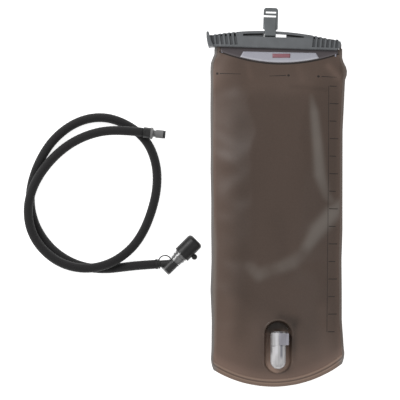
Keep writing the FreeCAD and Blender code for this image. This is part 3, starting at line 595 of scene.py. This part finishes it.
def make_pouch(materials):
    """Both films as one closed pouch, blown up a little by cloth simulation between pinned rims."""
    points = []
    pins = []
    index = {}
    sides = (FRONT_RISE, FRONT_ROUNDING), (-BACK_DROP, BACK_ROUNDING)
    for side, (rise, rounding) in enumerate(sides):
        for row in range(ALONG):
            for column in range(ACROSS):
                rim = row in (0, ALONG - 1) or column in (0, ACROSS - 1)
                if side and rim:
                    index[side, row, column] = index[0, row, column]
                    continue
                across = 2 * column / (ACROSS - 1) - 1
                along = row / (ALONG - 1)
                x, y = bag_plan(across, along, RIM_WIDTH, BAND_WIDTH)
                height = swell(across, along, rounding)
                z = WELD_Z + rise * height
                index[side, row, column] = len(points)
                in_tray = side == 0 and tray_gap(x, y) < TRAY_PINS
                near_mouth = along > MOUTH_PINS
                if side == 0 and not in_tray:
                    z += crease_height(x, y) * min(height * CREASE_RISE, 1.0)
                points.append((x * MM, y * MM, z * MM))
                pins.append(1.0 if rim or in_tray or near_mouth else 0.0)
    faces = []
    for side in (0, 1):
        for row in range(ALONG - 1):
            for column in range(ACROSS - 1):
                quad = [index[side, row, column], index[side, row, column + 1],
                        index[side, row + 1, column + 1], index[side, row + 1, column]]
                faces.append(quad if side == 0 else quad[::-1])
    pouch = mesh_object("bag_film", points, faces, materials["film"])
    group = pouch.vertex_groups.new(name="pinned")
    for vertex, weight in enumerate(pins):
        group.add([vertex], weight, "REPLACE")
    blow_up(pouch)
    open_tray(pouch)
    tone_film(pouch)
    subdivision = pouch.modifiers.new("smooth", "SUBSURF")
    subdivision.levels = subdivision.render_levels = 1
    apply_modifiers(pouch)
    return pouch


def blow_up(pouch):
    """A short cloth simulation with a little spare film, which buckles softly near its rims."""
    rest = np.array([vertex.co for vertex in pouch.data.vertices])
    cloth = pouch.modifiers.new("cloth", "CLOTH")
    settings = cloth.settings
    settings.quality = 6
    settings.mass = 0.25
    settings.tension_stiffness = settings.compression_stiffness = 25
    settings.shear_stiffness = 10
    settings.bending_stiffness = 1.2
    settings.vertex_group_mass = "pinned"
    settings.shrink_min = -0.005
    settings.use_pressure = True
    settings.uniform_pressure_force = 0.9
    settings.effector_weights.gravity = 0.0
    cloth.point_cache.frame_end = SIMULATED_FRAMES
    scene = bpy.context.scene
    for number in range(1, SIMULATED_FRAMES + 1):
        scene.frame_set(number)
    evaluated = pouch.evaluated_get(bpy.context.evaluated_depsgraph_get())
    moved = np.array([vertex.co for vertex in evaluated.data.vertices])
    shift = moved - rest
    edges = np.array([edge.vertices for edge in pouch.data.edges])
    ends, others = np.concatenate([edges, edges[:, ::-1]]).T
    shares = np.bincount(ends).reshape(-1, 1)
    for _ in range(SOFTENING):
        around = np.zeros_like(shift)
        np.add.at(around, ends, shift[others])
        shift = (1 - SPREAD) * shift + SPREAD * around / shares
    length = np.linalg.norm(shift, axis=1, keepdims=True)
    shift *= np.minimum(1.0, MOST_SHIFT / np.maximum(length, 1e-9))
    settled = rest + shift
    settled[:, 2] = np.clip(settled[:, 2], LEAST_HEIGHT, None)
    pouch.modifiers.clear()
    scene.frame_set(1)
    pouch.data.vertices.foreach_set("co", settled.astype(np.float32).ravel())
    pouch.data.update()


def tray_along(y):
    """Where on the recess's middle line, from its centre, the spot nearest to a Y lies."""
    return clamp(y - TRAY_CENTRE[1], -TRAY_REACH, TRAY_REACH)


def tray_gap(x, y):
    """Distance in plan outside the recess's outline, negative inside it."""
    return math.hypot(x - TRAY_CENTRE[0], y - TRAY_CENTRE[1] - tray_along(y)) - TRAY_RADIUS


def open_tray(pouch):
    """Cuts the recess out of the front film and draws the cut's edge onto the recess's outline."""
    work = bmesh.new()
    work.from_mesh(pouch.data)
    gone = []
    for face in work.faces:
        centre = face.calc_center_median() / MM
        if face.normal.z > FACING_UP and tray_gap(centre.x, centre.y) < 0:
            gone.append(face)
    bmesh.ops.delete(work, geom=gone, context="FACES")
    for edge in work.edges:
        if not edge.is_boundary:
            continue
        for vertex in edge.verts:
            core = Vector((TRAY_CENTRE[0], TRAY_CENTRE[1] + tray_along(vertex.co.y / MM)))
            away = Vector((vertex.co.x / MM, vertex.co.y / MM)) - core
            spot = core + away.normalized() * TRAY_RADIUS
            vertex.co.x, vertex.co.y = spot.x * MM, spot.y * MM
    work.to_mesh(pouch.data)
    work.free()


TONE_STROKES = [
    # x, y of both ends, width, tone: broad lights and darks of the film, in millimetres
    (-30, 150, 40, 146, 12, 0.05),
    (-44, 100, -44, -128, 13, -0.05),
    (0, -30, 14, -100, 12, -0.03),
    (-30, -180, -50, -225, 22, 0.16),
    (30, -215, 60, -222, 18, 0.12),
    (70, 174, 82, 160, 5, 0.22),
    (20, 147, 66, 143, 3, -0.07),
    (-38, 176, -34, 160, 4, 0.08),
    (30, 172, 34, 158, 5, 0.06),
    (62, -150, 66, -206, 10, 0.09),
    (-62, -140, -66, -196, 12, 0.10),
    (86, 184, 89, 156, 2.2, -0.25),
    (-79, 170, -81, 150, 6, 0.10),
    # the last three: the port's painted shadow round the recess
    (6, -160, 24, -164, 7, -0.16),
    (23, -170, 23, -214, 4, -0.14),
    (-19, -172, -19, -205, 2.5, -0.08),
]
SHEENS = [
    # x, y, half width and strength along each cool sheen, a painted highlight where the film
    # catches the light
    [(46, 134, 3, 0.09), (50, 112, 6, 0.36), (54, 70, 7, 0.40), (57, 30, 8, 0.40),
     (66, 2, 6, 0.20), (76, -8, 5, 0.14)],
    [(86, -12, 9, 0.34), (74, -22, 11, 0.44), (54, -44, 11, 0.40), (42, -62, 8, 0.34),
     (34, -74, 8, 0.10), (20, -86, 9, 0.22), (6, -92, 8, 0.22), (-8, -96, 8, 0.10),
     (-24, -102, 9, 0.24), (-36, -92, 7, 0.10)],
    [(-83, -30, 3, 0.1), (-83, -60, 4, 0.40), (-84, -150, 4, 0.36), (-83, -195, 3, 0.1)],
]
SHEEN_GAIN = 1.5
BASE_TONE = 0.25
EDGE_TONES = [
    # an edge, the tone that it adds and how far that reaches in
    # the left edge's lighter tone is a painted highlight, where the light falls from the left
    ("left", 0.20, 42), ("left", 0.5, 8), ("right", 0.24, 11), ("bottom", 0.24, 75),
    ("bottom", 0.55, 30),
]
MOUTH_TONE = 0.08  # added towards the mouth
MOUTH_RISE = (120, 50)  # from which Y, and over what length
EAR = (169, 11, 6)  # middle, half length and width of the grey fold by the right edge
NECK_COOL = 0.35  # the grey at both ends of the mouth
NECK_LEFT, NECK_RIGHT, NECK_BLUR = -73, 82, 3
NECK_RISE = (183, 5)
# the grey along the left edge is a painted highlight
LEFT_COOL, LEFT_COOL_WIDTH = 0.8, 6  # the grey along the left edge


def sheen(x, y):
    best = 0.0
    for nodes in SHEENS:
        for one, two in zip(nodes, nodes[1:]):
            share, gap = off_line(x, y, *one[:2], *two[:2])
            width = one[2] + (two[2] - one[2]) * share
            amount = one[3] + (two[3] - one[3]) * share
            best = max(best, SHEEN_GAIN * amount * math.exp(-(gap / width) ** 3))
    return best


def edge_gaps(x, y):
    """How far a spot is from each edge of the bag."""
    return {"left": x - edge_x(LEFT_EDGE, y), "right": edge_x(RIGHT_EDGE, y) - x,
            "bottom": y - bottom_y(clamp(x, -86.0, 88.0))}


def film_tone(x, y):
    """How light the film looks, from 0 to 1, with a painted highlight along its left edge and the
    port's painted shadow round the recess.
    """
    gaps = edge_gaps(x, y)
    tone = BASE_TONE
    for edge, amount, reach in EDGE_TONES:
        tone += amount * fade(gaps[edge], reach)
    tone += MOUTH_TONE * rise(y, *MOUTH_RISE)
    for *ends, width, amount in TONE_STROKES:
        tone += amount * math.exp(-(off_line(x, y, *ends)[1] / width) ** 2)
    return tone


def film_cool(x, y):
    """How grey the film looks: in its sheens, which are painted highlights, at both ends of the
    mouth and along its edges, where the left edge's grey is a painted highlight.
    """
    gaps = edge_gaps(x, y)
    middle, half_length, width = EAR
    ear = math.exp(-((y - middle) / half_length) ** 2) * fade(gaps["right"], width)
    ends = rise(x, NECK_RIGHT, NECK_BLUR) + rise(-x, -NECK_LEFT, NECK_BLUR)
    necks = NECK_COOL * rise(y, *NECK_RISE) * ends
    rim = LEFT_COOL * fade(gaps["left"], LEFT_COOL_WIDTH)
    return min(ear + necks + rim + sheen(x, y), 1.0)


def tone_film(pouch):
    spots = [(vertex.co.x / MM, vertex.co.y / MM) for vertex in pouch.data.vertices]
    point_attribute(pouch, "tone", [film_tone(x, y) for x, y in spots])
    point_attribute(pouch, "cool", [film_cool(x, y) for x, y in spots])


SIDE_STEPS = 70
BOTTOM_STEPS = 120
BAND_PROFILE = [
    # share of the way from the band's inner to its outer edge, height in millimetres, tone
    (0.0, 0.5, 0.8075), (0.13, 0.8, 0.87), (0.19, 1.0, 1.5575), (0.26, 0.8, 0.995),
    (0.36, 0.35, 0.395), (0.46, 0.35, 0.395), (0.54, 0.85, 0.995), (0.60, 1.0, 1.5575),
    (0.66, 0.7, 0.87), (0.8, 0.3, 0.745), (1.0, 0.25, 1.12), (1.0, -0.25, 0.87),
    (0.6, -0.4, 0.495), (0.0, -0.5, 0.495),
]
BEAD_RUN = 0.05  # share of the length over which the beads die out upwards
SIDE_BEAD = 0.45  # the greatest height on the sides
# the left side's lighter, greyer look is a painted highlight, the right side's darker one painted
# shade
SIDE_LOOKS = (0.5, 0.9), (0.3, 0.25)  # tone and coolness of the left side and the right one
CORNER_RUN = 0.1  # share of the half width over which the bottom's ends turn cool
CORNER_CUT = 0.18  # how much narrower the band is at its corners
SWAY = 0.5  # how far its outer edge waves up and down


def make_band(materials):
    """The welded rim: a narrow edge up both sides and a band with two beads round the bottom."""
    path = [(-1.0, 1 - step / SIDE_STEPS) for step in range(SIDE_STEPS)]
    path += [(-1 + 2 * step / BOTTOM_STEPS, 0.0) for step in range(BOTTOM_STEPS + 1)]
    path += [(1.0, step / SIDE_STEPS) for step in range(1, SIDE_STEPS + 1)]
    random.seed(5)
    wobble = [random.uniform(-1, 1) for _ in range(40)]
    points, tones, cools = [], [], []
    for count, (across, along) in enumerate(path):
        inner = Vector(bag_plan(across, along, RIM_WIDTH + RIM_LAP, BAND_WIDTH + RIM_LAP))
        outer = Vector(bag_plan(across, along, 0.0, 0.0))
        if abs(across) == 1.0 and along == 0.0:
            outer = outer.lerp(inner, CORNER_CUT)
        share = count / (len(path) - 1) * (len(wobble) - 1)
        sway = float(np.interp(share, range(len(wobble)), wobble))
        low = fade(along, BEAD_RUN)
        corner = fade(1 - abs(across), CORNER_RUN)
        side_tone, most_cool = SIDE_LOOKS[across >= 0]
        for reach, height, tone in BAND_PROFILE:
            spot = inner.lerp(outer, reach)
            flat = math.copysign(min(abs(height), SIDE_BEAD), height)
            bead = flat + (height - flat) * low
            z = WELD_Z + bead + SWAY * sway * reach
            points.append((spot.x * MM, spot.y * MM, z * MM))
            side_cool = most_cool * (0.5 + 0.5 * reach)
            tones.append(side_tone + (tone - side_tone) * low)
            cools.append(side_cool + (corner * reach - side_cool) * low)
    faces = [face[::-1] for face in strip_faces(len(path), len(BAND_PROFILE))]
    band = mesh_object("welded_band", points, faces, materials["band"])
    point_attribute(band, "tone", tones)
    point_attribute(band, "cool", cools)
    return band


def surface_over(piece):
    """A function that gives the height of a piece's top over a plan position."""
    tree = BVHTree.FromObject(piece, bpy.context.evaluated_depsgraph_get())

    def height(x, y):
        hit = tree.ray_cast(Vector((x * MM, y * MM, 0.2)), Vector((0, 0, -1)))[0]
        return hit.z / MM if hit else WELD_Z

    return height


RING_POINTS = 112
RECESS_PROFILE = [
    # distance outside the outline, share of the way down to the floor, lift, tone
    # the floor's high tone is painted light
    (2.4, 0.0, -0.2, 0.42), (1.2, 0.0, 0.25, 0.44), (0.2, 0.03, 0.1, 0.46),
    (-0.7, 0.14, 0.0, 0.4), (-1.3, 0.4, 0.0, 0.4), (-1.9, 0.75, 0.0, 0.6),
    (-3.0, 0.94, 0.0, 0.95), (-4.6, 1.0, 0.0, 1.0), (-12.0, 1.0, 0.0, 1.0),
    (-18.0, 1.0, 0.0, 1.0),
]
RECESS_EDGE = 2.6  # where round it the film's height is read
RECESS_THICKNESS = 0.6 * MM


def stadium_ring(offset):
    """Points round the recess's outline, moved outwards by offset."""
    radius = TRAY_RADIUS + offset
    ring = []
    for step in range(RING_POINTS):
        angle = 2 * math.pi * step / RING_POINTS
        shift = TRAY_REACH if math.sin(angle) >= 0 else -TRAY_REACH
        x = TRAY_CENTRE[0] + radius * math.cos(angle)
        ring.append((x, TRAY_CENTRE[1] + shift + radius * math.sin(angle)))
    return ring


# the port's painted shadow in the recess, at its upper end and on its right
UPPER_SHADE, UPPER_RISE = 0.42, (-188, 14)  # the upper end's darkness, and where in Y it comes up
FLOOR_SHADE, FLOOR_RISE = 0.5, (-0.2, 4.0)  # what is added there from the rim inwards
RIGHT_SHADE, RIGHT_RISE_X, RIGHT_RISE_Y = 0.35, (8, 6), (-215, 12)


def recess_shade(x, y, offset):
    """What is left of the recess's tone: it is darker at its upper end and on its right, the port's
    painted shadow.
    """
    upper = rise(y, *UPPER_RISE) * (UPPER_SHADE + FLOOR_SHADE * rise(-offset, *FLOOR_RISE))
    right = RIGHT_SHADE * rise(x, *RIGHT_RISE_X) * rise(y, *RIGHT_RISE_Y)
    return (1 - upper) * (1 - right)


def make_recess(film_height, materials):
    """The oval recess that the port stands in: a soft shoulder, a rounded wall and a floor, with
    painted light on the floor and the port's painted shadow.
    """
    points = []
    tones = []
    edge = [film_height(x, y) for x, y in stadium_ring(RECESS_EDGE)]
    for offset, drop, lift, tone in RECESS_PROFILE:
        for (x, y), top in zip(stadium_ring(offset), edge):
            z = top + (TRAY_FLOOR_Z - top) * drop + lift
            points.append((x * MM, y * MM, z * MM))
            tones.append(tone * recess_shade(x, y, offset))
    faces = strip_faces(len(RECESS_PROFILE), RING_POINTS, closed=True)
    recess = mesh_object("port_recess", points, faces, materials["recess"])
    point_attribute(recess, "tone", tones)
    thicken(recess, RECESS_THICKNESS, -1)
    return recess


FLAP_X = (-74.0, 82.0)
LABEL_X = (-48.0, 57.0)
LABEL_SLANT = 4.0  # how far its ends draw in towards the top
MARK_X = (-5.0, 18.5)
MARK_Y = (185.2, 190.6)
SHEET_THICKNESS = 0.45 * MM
LEAST_RISE = 0.5  # the sheets lie at least this high over the weld
SHEET_TONE = 0.16
EDGE_TONE = (0.34, 3.2)  # how much lighter their free edge is, and over what width


def crescent_low(x):
    """The curved free edge of the folded-over film."""
    return 178.0 + 0.00235 * (x - 8.0) ** 2


def make_sheet_piece(name, material, film_height, x_ends, low, high, lift,
                     steps=(60, 12), slant=0.0):
    """A thin sheet on the front film between two curves."""
    points = []
    tones = []
    for row in range(steps[1] + 1):
        share = row / steps[1]
        for column in range(steps[0] + 1):
            draw_in = slant * share
            x = x_ends[0] + draw_in + (x_ends[1] - x_ends[0] - 2 * draw_in) * column / steps[0]
            y = low(x) + (high(x) - low(x)) * share
            z = max(film_height(x, y), WELD_Z + LEAST_RISE) + lift
            points.append((x * MM, y * MM, z * MM))
            tones.append(SHEET_TONE + EDGE_TONE[0] * fade(y - low(x), EDGE_TONE[1]))
    faces = strip_faces(steps[1] + 1, steps[0] + 1)
    piece = mesh_object(name, points, faces, material)
    point_attribute(piece, "tone", tones)
    thicken(piece, SHEET_THICKNESS, 1)
    return piece


def make_flap(film_height, materials):
    """The folded-over film, the care label on it and the plain bar that stands for its mark."""
    flap = make_sheet_piece(
        "mouth_flap_film", materials["flap"], film_height, FLAP_X, crescent_low,
        lambda x: mouth_y(x) - 0.5, lift=0.35)
    label = make_sheet_piece(
        "care_label_print", materials["label"], film_height, LABEL_X,
        lambda x: crescent_low(x) + 1.0, lambda x: 192.6 - 0.02 * (x - 4), lift=0.85,
        steps=(50, 8), slant=LABEL_SLANT)
    mark = make_sheet_piece(
        "care_label_bar", materials["label_mark"], film_height, MARK_X,
        lambda x: MARK_Y[0], lambda x: MARK_Y[1], lift=1.25, steps=(12, 4))
    return flap, label, mark


# --- prints and painted shadow lines, in millimetres ---
FILL_MARKS = [
    # x of the dot, both ends of the tapering line, y
    (-78.5, -75.0, -46.9, 164.3), (16.4, 13.0, -9.4, 161.8), (56.0, 60.0, 81.0, 160.2)]
FILL_STEPS = 16
FILL_TAPER = 0.6
FILL_DROOP = 0.8
DOT_RADIUS = 1.6
DOT_WIDTH = 3.0
DOT_POINTS = 9
SCALE_TOP, SCALE_BOTTOM = (69.8, 147.6), (66.8, -178.7)
SCALE_STEPS = 120
SCALE_WIDTH = 0.55
TICKS = 15
TICK_LENGTHS = 9.0, 12.0  # of the even and the odd ones
TICK_GAP = 1.5
TICK_DROOP = 0.3
TICK_WIDTH = 1.0
TICK_STEPS = 6
ARC_X = (-76, 84)
# the lines along both edges are painted shadows
UNDER_FLAP, UNDER_BAR = 1.0, 3.9  # how far below both edges the lines along them run
EDGE_LINE_WIDTH = 1.5
SEAM_MARKS = [(-71.8, 192.2, 198.0), (79.0, 186.8, 191.8)]  # middle, bottom and top
SEAM_MARK_WIDTH = 1.8
OVER_FLAP = 1.0  # how far prints on the flap stand over the film


def print_strip(points, faces, film_height, path, widths, lift=0.12):
    """Adds one flat printed stroke, given by its middle line and its widths."""
    base = len(points)
    for count, ((x, y), width) in enumerate(zip(path, widths)):
        run = direction_at(path, count)
        side = Vector((-run.y, run.x)) * width / 2
        for spot in (Vector((x, y)) + side, Vector((x, y)) - side):
            points.append((spot.x * MM, spot.y * MM, (film_height(spot.x, spot.y) + lift) * MM))
    for count in range(len(path) - 1):
        a = base + 2 * count
        faces.append((a, a + 1, a + 3, a + 2))


def line(start, end, steps):
    return [tuple(Vector(start).lerp(Vector(end), step / steps)) for step in range(steps + 1)]


def make_prints(film_height, materials):
    """The dark fill marks and volume scale, the lines along the flap, which are painted shadows
    under its edge and under the bar, then the pale seam marks.
    """
    points, faces = [], []
    def stroke(path, widths, **options):
        print_strip(points, faces, film_height, path, widths, **options)

    for x, start, end, y in FILL_MARKS:
        tapering = [1.0 - FILL_TAPER * step / FILL_STEPS for step in range(FILL_STEPS + 1)]
        stroke(line((start, y), (end, y - FILL_DROOP), FILL_STEPS), tapering)
        dot = [(x + DOT_RADIUS * math.cos(angle), y)
               for angle in np.linspace(math.pi, 0, DOT_POINTS)]
        stroke(dot, [DOT_WIDTH * math.sin(math.pi * (step + 0.5) / DOT_POINTS)
                     for step in range(DOT_POINTS)])
    stroke(line(SCALE_TOP, SCALE_BOTTOM, SCALE_STEPS), [SCALE_WIDTH] * (SCALE_STEPS + 1))
    for tick in range(TICKS):
        x, y = Vector(SCALE_TOP).lerp(Vector(SCALE_BOTTOM), tick / (TICKS - 1))
        x += TICK_GAP
        path = line((x, y), (x + TICK_LENGTHS[tick % 2], y - TICK_DROOP), TICK_STEPS)
        stroke(path, [TICK_WIDTH] * len(path))
    # painted shadows: under the flap's edge, and under the bar
    arc = [(x, crescent_low(x) - UNDER_FLAP) for x in np.linspace(*ARC_X, 61)]
    stroke(arc, [EDGE_LINE_WIDTH] * len(arc))
    under_bar = [(x, mouth_y(x) - UNDER_BAR) for x in np.linspace(*FLAP_X, 41)]
    stroke(under_bar, [EDGE_LINE_WIDTH] * len(under_bar), lift=OVER_FLAP)
    dark = mesh_object("volume_marks_and_painted_shadows", points, faces, materials["print"])

    points, faces = [], []
    for x, low, high in SEAM_MARKS:
        stroke([(x, low), (x, high)], [SEAM_MARK_WIDTH] * 2, lift=OVER_FLAP)
    pale = mesh_object("seam_marks", points, faces, materials["label"])
    return dark, pale


# --- painted shade in the bar's hollows ---
def bar_spot(u, v, z):
    """A spot given in the bar's axes, in metres."""
    tilt = math.radians(BAR_TILT)
    x = BAR_ORIGIN[0] + u * math.cos(tilt) - v * math.sin(tilt)
    y = BAR_ORIGIN[1] + u * math.sin(tilt) + v * math.cos(tilt)
    return x * MM, y * MM, z * MM


def arch_v(u):
    """The height of the bar's arched edge, a circle through three points."""
    rows = [[2 * a, 2 * b, 1.0] for a, b in BAR_ARCH]
    centre_u, centre_v, rest = np.linalg.solve(rows, [a * a + b * b for a, b in BAR_ARCH])
    return centre_v + math.sqrt(rest + centre_u ** 2 + centre_v ** 2 - (u - centre_u) ** 2)


def slanted_quad(points, faces, u, slant, width, v, z):
    """Adds one flat quad across the bar, turned about the foot of its pit."""
    turn = math.radians(slant)
    base = len(points)
    for side, edge in ((-1, v[0]), (1, v[0]), (1, v[1]), (-1, v[1])):
        across, up = side * width / 2, edge - PIT_V[0]
        place_u = u + across * math.cos(turn) - up * math.sin(turn)
        place_v = PIT_V[0] + across * math.sin(turn) + up * math.cos(turn)
        points.append(bar_spot(place_u, place_v, z))
    faces.append((base, base + 1, base + 2, base + 3))


def make_bar_painted_shade(materials):
    """Black sheets of painted shade on the floors of the pits and of the groove under the rail,
    then the grip's dull grey ones, also painted shade.
    """
    points, faces = [], []
    dull_points, dull_faces = [], []
    for first, slant in PIT_ROWS:
        for index in range(PITS_IN_ROW):
            u = first + index * PIT_PITCH
            slanted_quad(dull_points, dull_faces, u, slant, GROOVE_WIDTH, GROOVE_V, GROOVE_Z)
            top = arch_v(u) - PIT_V[1]
            if top > PIT_V[0] + LEAST_PIT:
                slanted_quad(points, faces, u, slant, PIT_WIDTH, (PIT_V[0], top), PIT_Z)
    for start, end in RAIL_RUNS:
        base = len(points)
        for u in np.linspace(start, end, RAIL_POINTS):
            points += [bar_spot(u, arch_v(u) - under, RAIL_Z) for under in RAIL_V]
        for step in range(RAIL_POINTS - 1):
            a = base + 2 * step
            faces.append((a, a + 2, a + 3, a + 1))
    black = mesh_object("bar_hollow_painted_shade", points, faces, materials["black"], smooth=False)
    dull = mesh_object("bar_grip_painted_shade", dull_points, dull_faces, materials["bar_shade"],
                       smooth=False)
    return black, dull


# --- the hose ---
def route_points():
    """Points of the smooth line whose control points are the hose's route."""
    curve = bpy.data.curves.new("hose_line", "CURVE")
    curve.dimensions = "3D"
    curve.resolution_u = 24
    spline = curve.splines.new("NURBS")
    spline.points.add(len(HOSE_ROUTE) - 1)
    for point, place in zip(spline.points, HOSE_ROUTE):
        point.co = (*place, 1.0)
    spline.order_u = 3
    spline.use_endpoint_u = True
    holder = bpy.data.objects.new("hose_line", curve)
    bpy.context.scene.collection.objects.link(holder)
    evaluated = holder.evaluated_get(bpy.context.evaluated_depsgraph_get())
    mesh = bpy.data.meshes.new_from_object(evaluated)
    points = [vertex.co.copy() for vertex in mesh.vertices]
    bpy.data.objects.remove(holder)
    return points


def make_tube(name, path, radius_at, material):
    """A closed tube along a path, its radius given by the length along it and the angle round it.
    Its U runs once round it, and its V along it in metres."""
    points, faces, lengths = [], [], [0.0]
    for one, two in zip(path, path[1:]):
        lengths.append(lengths[-1] + (two - one).length)
    up = Vector((0, 0, 1))
    for count, centre in enumerate(path):
        along = direction_at(path, count)
        side = along.cross(up).normalized()
        lift = side.cross(along)
        for step in range(SIDES):
            angle = 2 * math.pi * step / SIDES
            out = side * math.cos(angle) + lift * math.sin(angle)
            points.append(centre + out * radius_at(lengths[count], angle))
    faces = [face[::-1] for face in strip_faces(len(path), SIDES, closed=True)]
    faces.append(tuple(range(SIDES)))
    last = (len(path) - 1) * SIDES
    faces.append(tuple(range(last + SIDES - 1, last - 1, -1)))
    tube = mesh_object(name, points, faces, material)
    uv = tube.data.uv_layers.new(name="UVMap")
    for face in tube.data.polygons:
        corners = [tube.data.loops[index].vertex_index for index in face.loop_indices]
        around = [(corner % SIDES) / SIDES for corner in corners]
        wraps = max(around) - min(around) > 0.5
        for index, corner, turn in zip(face.loop_indices, corners, around):
            turn = turn + 1 if wraps and turn < 0.5 else turn
            uv.data[index].uv = (turn, lengths[corner // SIDES])
    return tube


def resample(path, spacing):
    """Evenly spaced points of a path."""
    lengths = np.concatenate([[0], np.cumsum([(b - a).length for a, b in zip(path, path[1:])])])
    places = np.linspace(0, lengths[-1], int(lengths[-1] / spacing) + 1)
    columns = [np.interp(places, lengths, column) for column in np.array(path).T]
    return [Vector(place) for place in zip(*columns)]


def make_hose(materials):
    """The woven sleeve, the tube's two visible ends and the points of the hose's middle line."""
    line_points = route_points()
    fine = resample(line_points, RING_SPACING)
    total = RING_SPACING * (len(fine) - 1)

    def sleeve_radius(length, angle):
        soft = math.sin(length * 61.0 + 1.3 * math.sin(angle)) * math.sin(length * 23.0 + angle)
        yarn = math.cos(YARNS * angle + length * YARN_TWIST)
        hem = 1 - min(min(length, total - length) / HEM_LENGTH, 1.0)
        radius = HOSE_DIAMETER / 2 - SLEEVE_INSET
        return radius + SOFT_DEPTH * soft + YARN_DEPTH * yarn - HEM_DEPTH * hem

    sleeve = make_tube("hose_sleeve_woven", fine, sleeve_radius, materials["sleeve"])
    tubes = []
    for name, end, before, reach in (("tube_plug_end", fine[0], fine[1], PLUG_TUBE_REACH),
                                     ("tube_valve_end", fine[-1], fine[-2], VALVE_TUBE_REACH)):
        outwards = (end - before).normalized()
        path = [end + outwards * (share * reach - TUBE_INSET * (1 - share))
                for share in np.linspace(0, 1, TUBE_RINGS)]
        tubes.append(make_tube(name, path, lambda length, angle: TUBE_DIAMETER / 2,
                               materials["tube"]))
    return sleeve, tubes, line_points


def make_spring(name, coil, wire, start, axis, length, turns, material):
    """A compression spring of round wire."""
    axis = Vector(axis)
    side = axis.orthogonal().normalized()
    other = axis.cross(side)
    steps = STEPS_PER_TURN * turns
    points = []
    for step in range(steps + 1):
        angle = 2 * math.pi * turns * step / steps
        out = side * math.cos(angle) + other * math.sin(angle)
        centre = Vector(start) + axis * (wire + (length - 2 * wire) * step / steps) + out * coil
        for corner in range(WIRE_SIDES):
            turn = 2 * math.pi * corner / WIRE_SIDES
            points.append((centre + (out * math.cos(turn) + axis * math.sin(turn)) * wire) * MM)
    faces = strip_faces(steps + 1, WIRE_SIDES, closed=True)
    last = steps * WIRE_SIDES
    faces += [tuple(range(WIRE_SIDES))[::-1], tuple(range(last, last + WIRE_SIDES))]
    spring = mesh_object(name, points, faces, material)
    work = bmesh.new()
    work.from_mesh(spring.data)
    bmesh.ops.recalc_face_normals(work, faces=work.faces)
    work.to_mesh(spring.data)
    work.free()
    return spring


# --- the floor ---
FLOOR_REACH = 3
FLOOR_Z = -0.0004


def make_floor():
    corners = [(x * FLOOR_REACH, y * FLOOR_REACH, FLOOR_Z)
               for x, y in ((-1, -1), (1, -1), (1, 1), (-1, 1))]
    floor = mesh_object("floor", corners, [(0, 1, 2, 3)], floor_material(), smooth=False)


def floor_material():
    paper = Shader("paper", (0.86, 0.86, 0.86), 0.9, Specular_IOR_Level=0.1,
                   Emission_Strength=0.8, Emission_Color=(1.0, 1.0, 1.0, 1.0))
    paper.paint(paper.mix(paper.noise(3.0), (0.85, 0.85, 0.85), (0.87, 0.87, 0.87)))
    return paper.material


# --- building it ---
make_camera()
make_light()
make_floor()
materials = make_materials()
finish_cad_nodes(materials)

sleeve, tube_ends, hose_line = make_hose(materials)
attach(sleeve, "hose")
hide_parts("hose_sleeve")
for piece in tube_ends:
    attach(piece, "hose")
    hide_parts("hose_tube")

pouch = make_pouch(materials)
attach(pouch, "reservoir")
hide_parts("front_film", "back_film")
band = make_band(materials)
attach(band, "reservoir")
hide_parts("bottom_seam")

front_height = surface_over(pouch)
recess = make_recess(front_height, materials)
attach(recess, "reservoir")
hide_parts("port_tray")
flap, label, mark = make_flap(front_height, materials)
for piece, node, slot in ((flap, "mouth_flap", "flap_film"), (label, "care_label", "label")):
    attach(piece, "reservoir")
    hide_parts(node)
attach(mark, "reservoir")
for piece, slot in zip(make_prints(front_height, materials), ("bag_film", "label")):
    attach(piece, "reservoir")
for piece in make_bar_painted_shade(materials):
    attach(piece, "slider")

for name, node, coil, wire, start, axis, length, turns, joint, travel, fixed_end in SPRINGS:
    piece = make_spring(name, coil, wire, start, axis, length, turns, materials["steel"])
    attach(piece, "reservoir")
    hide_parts(node)
    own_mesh(piece)
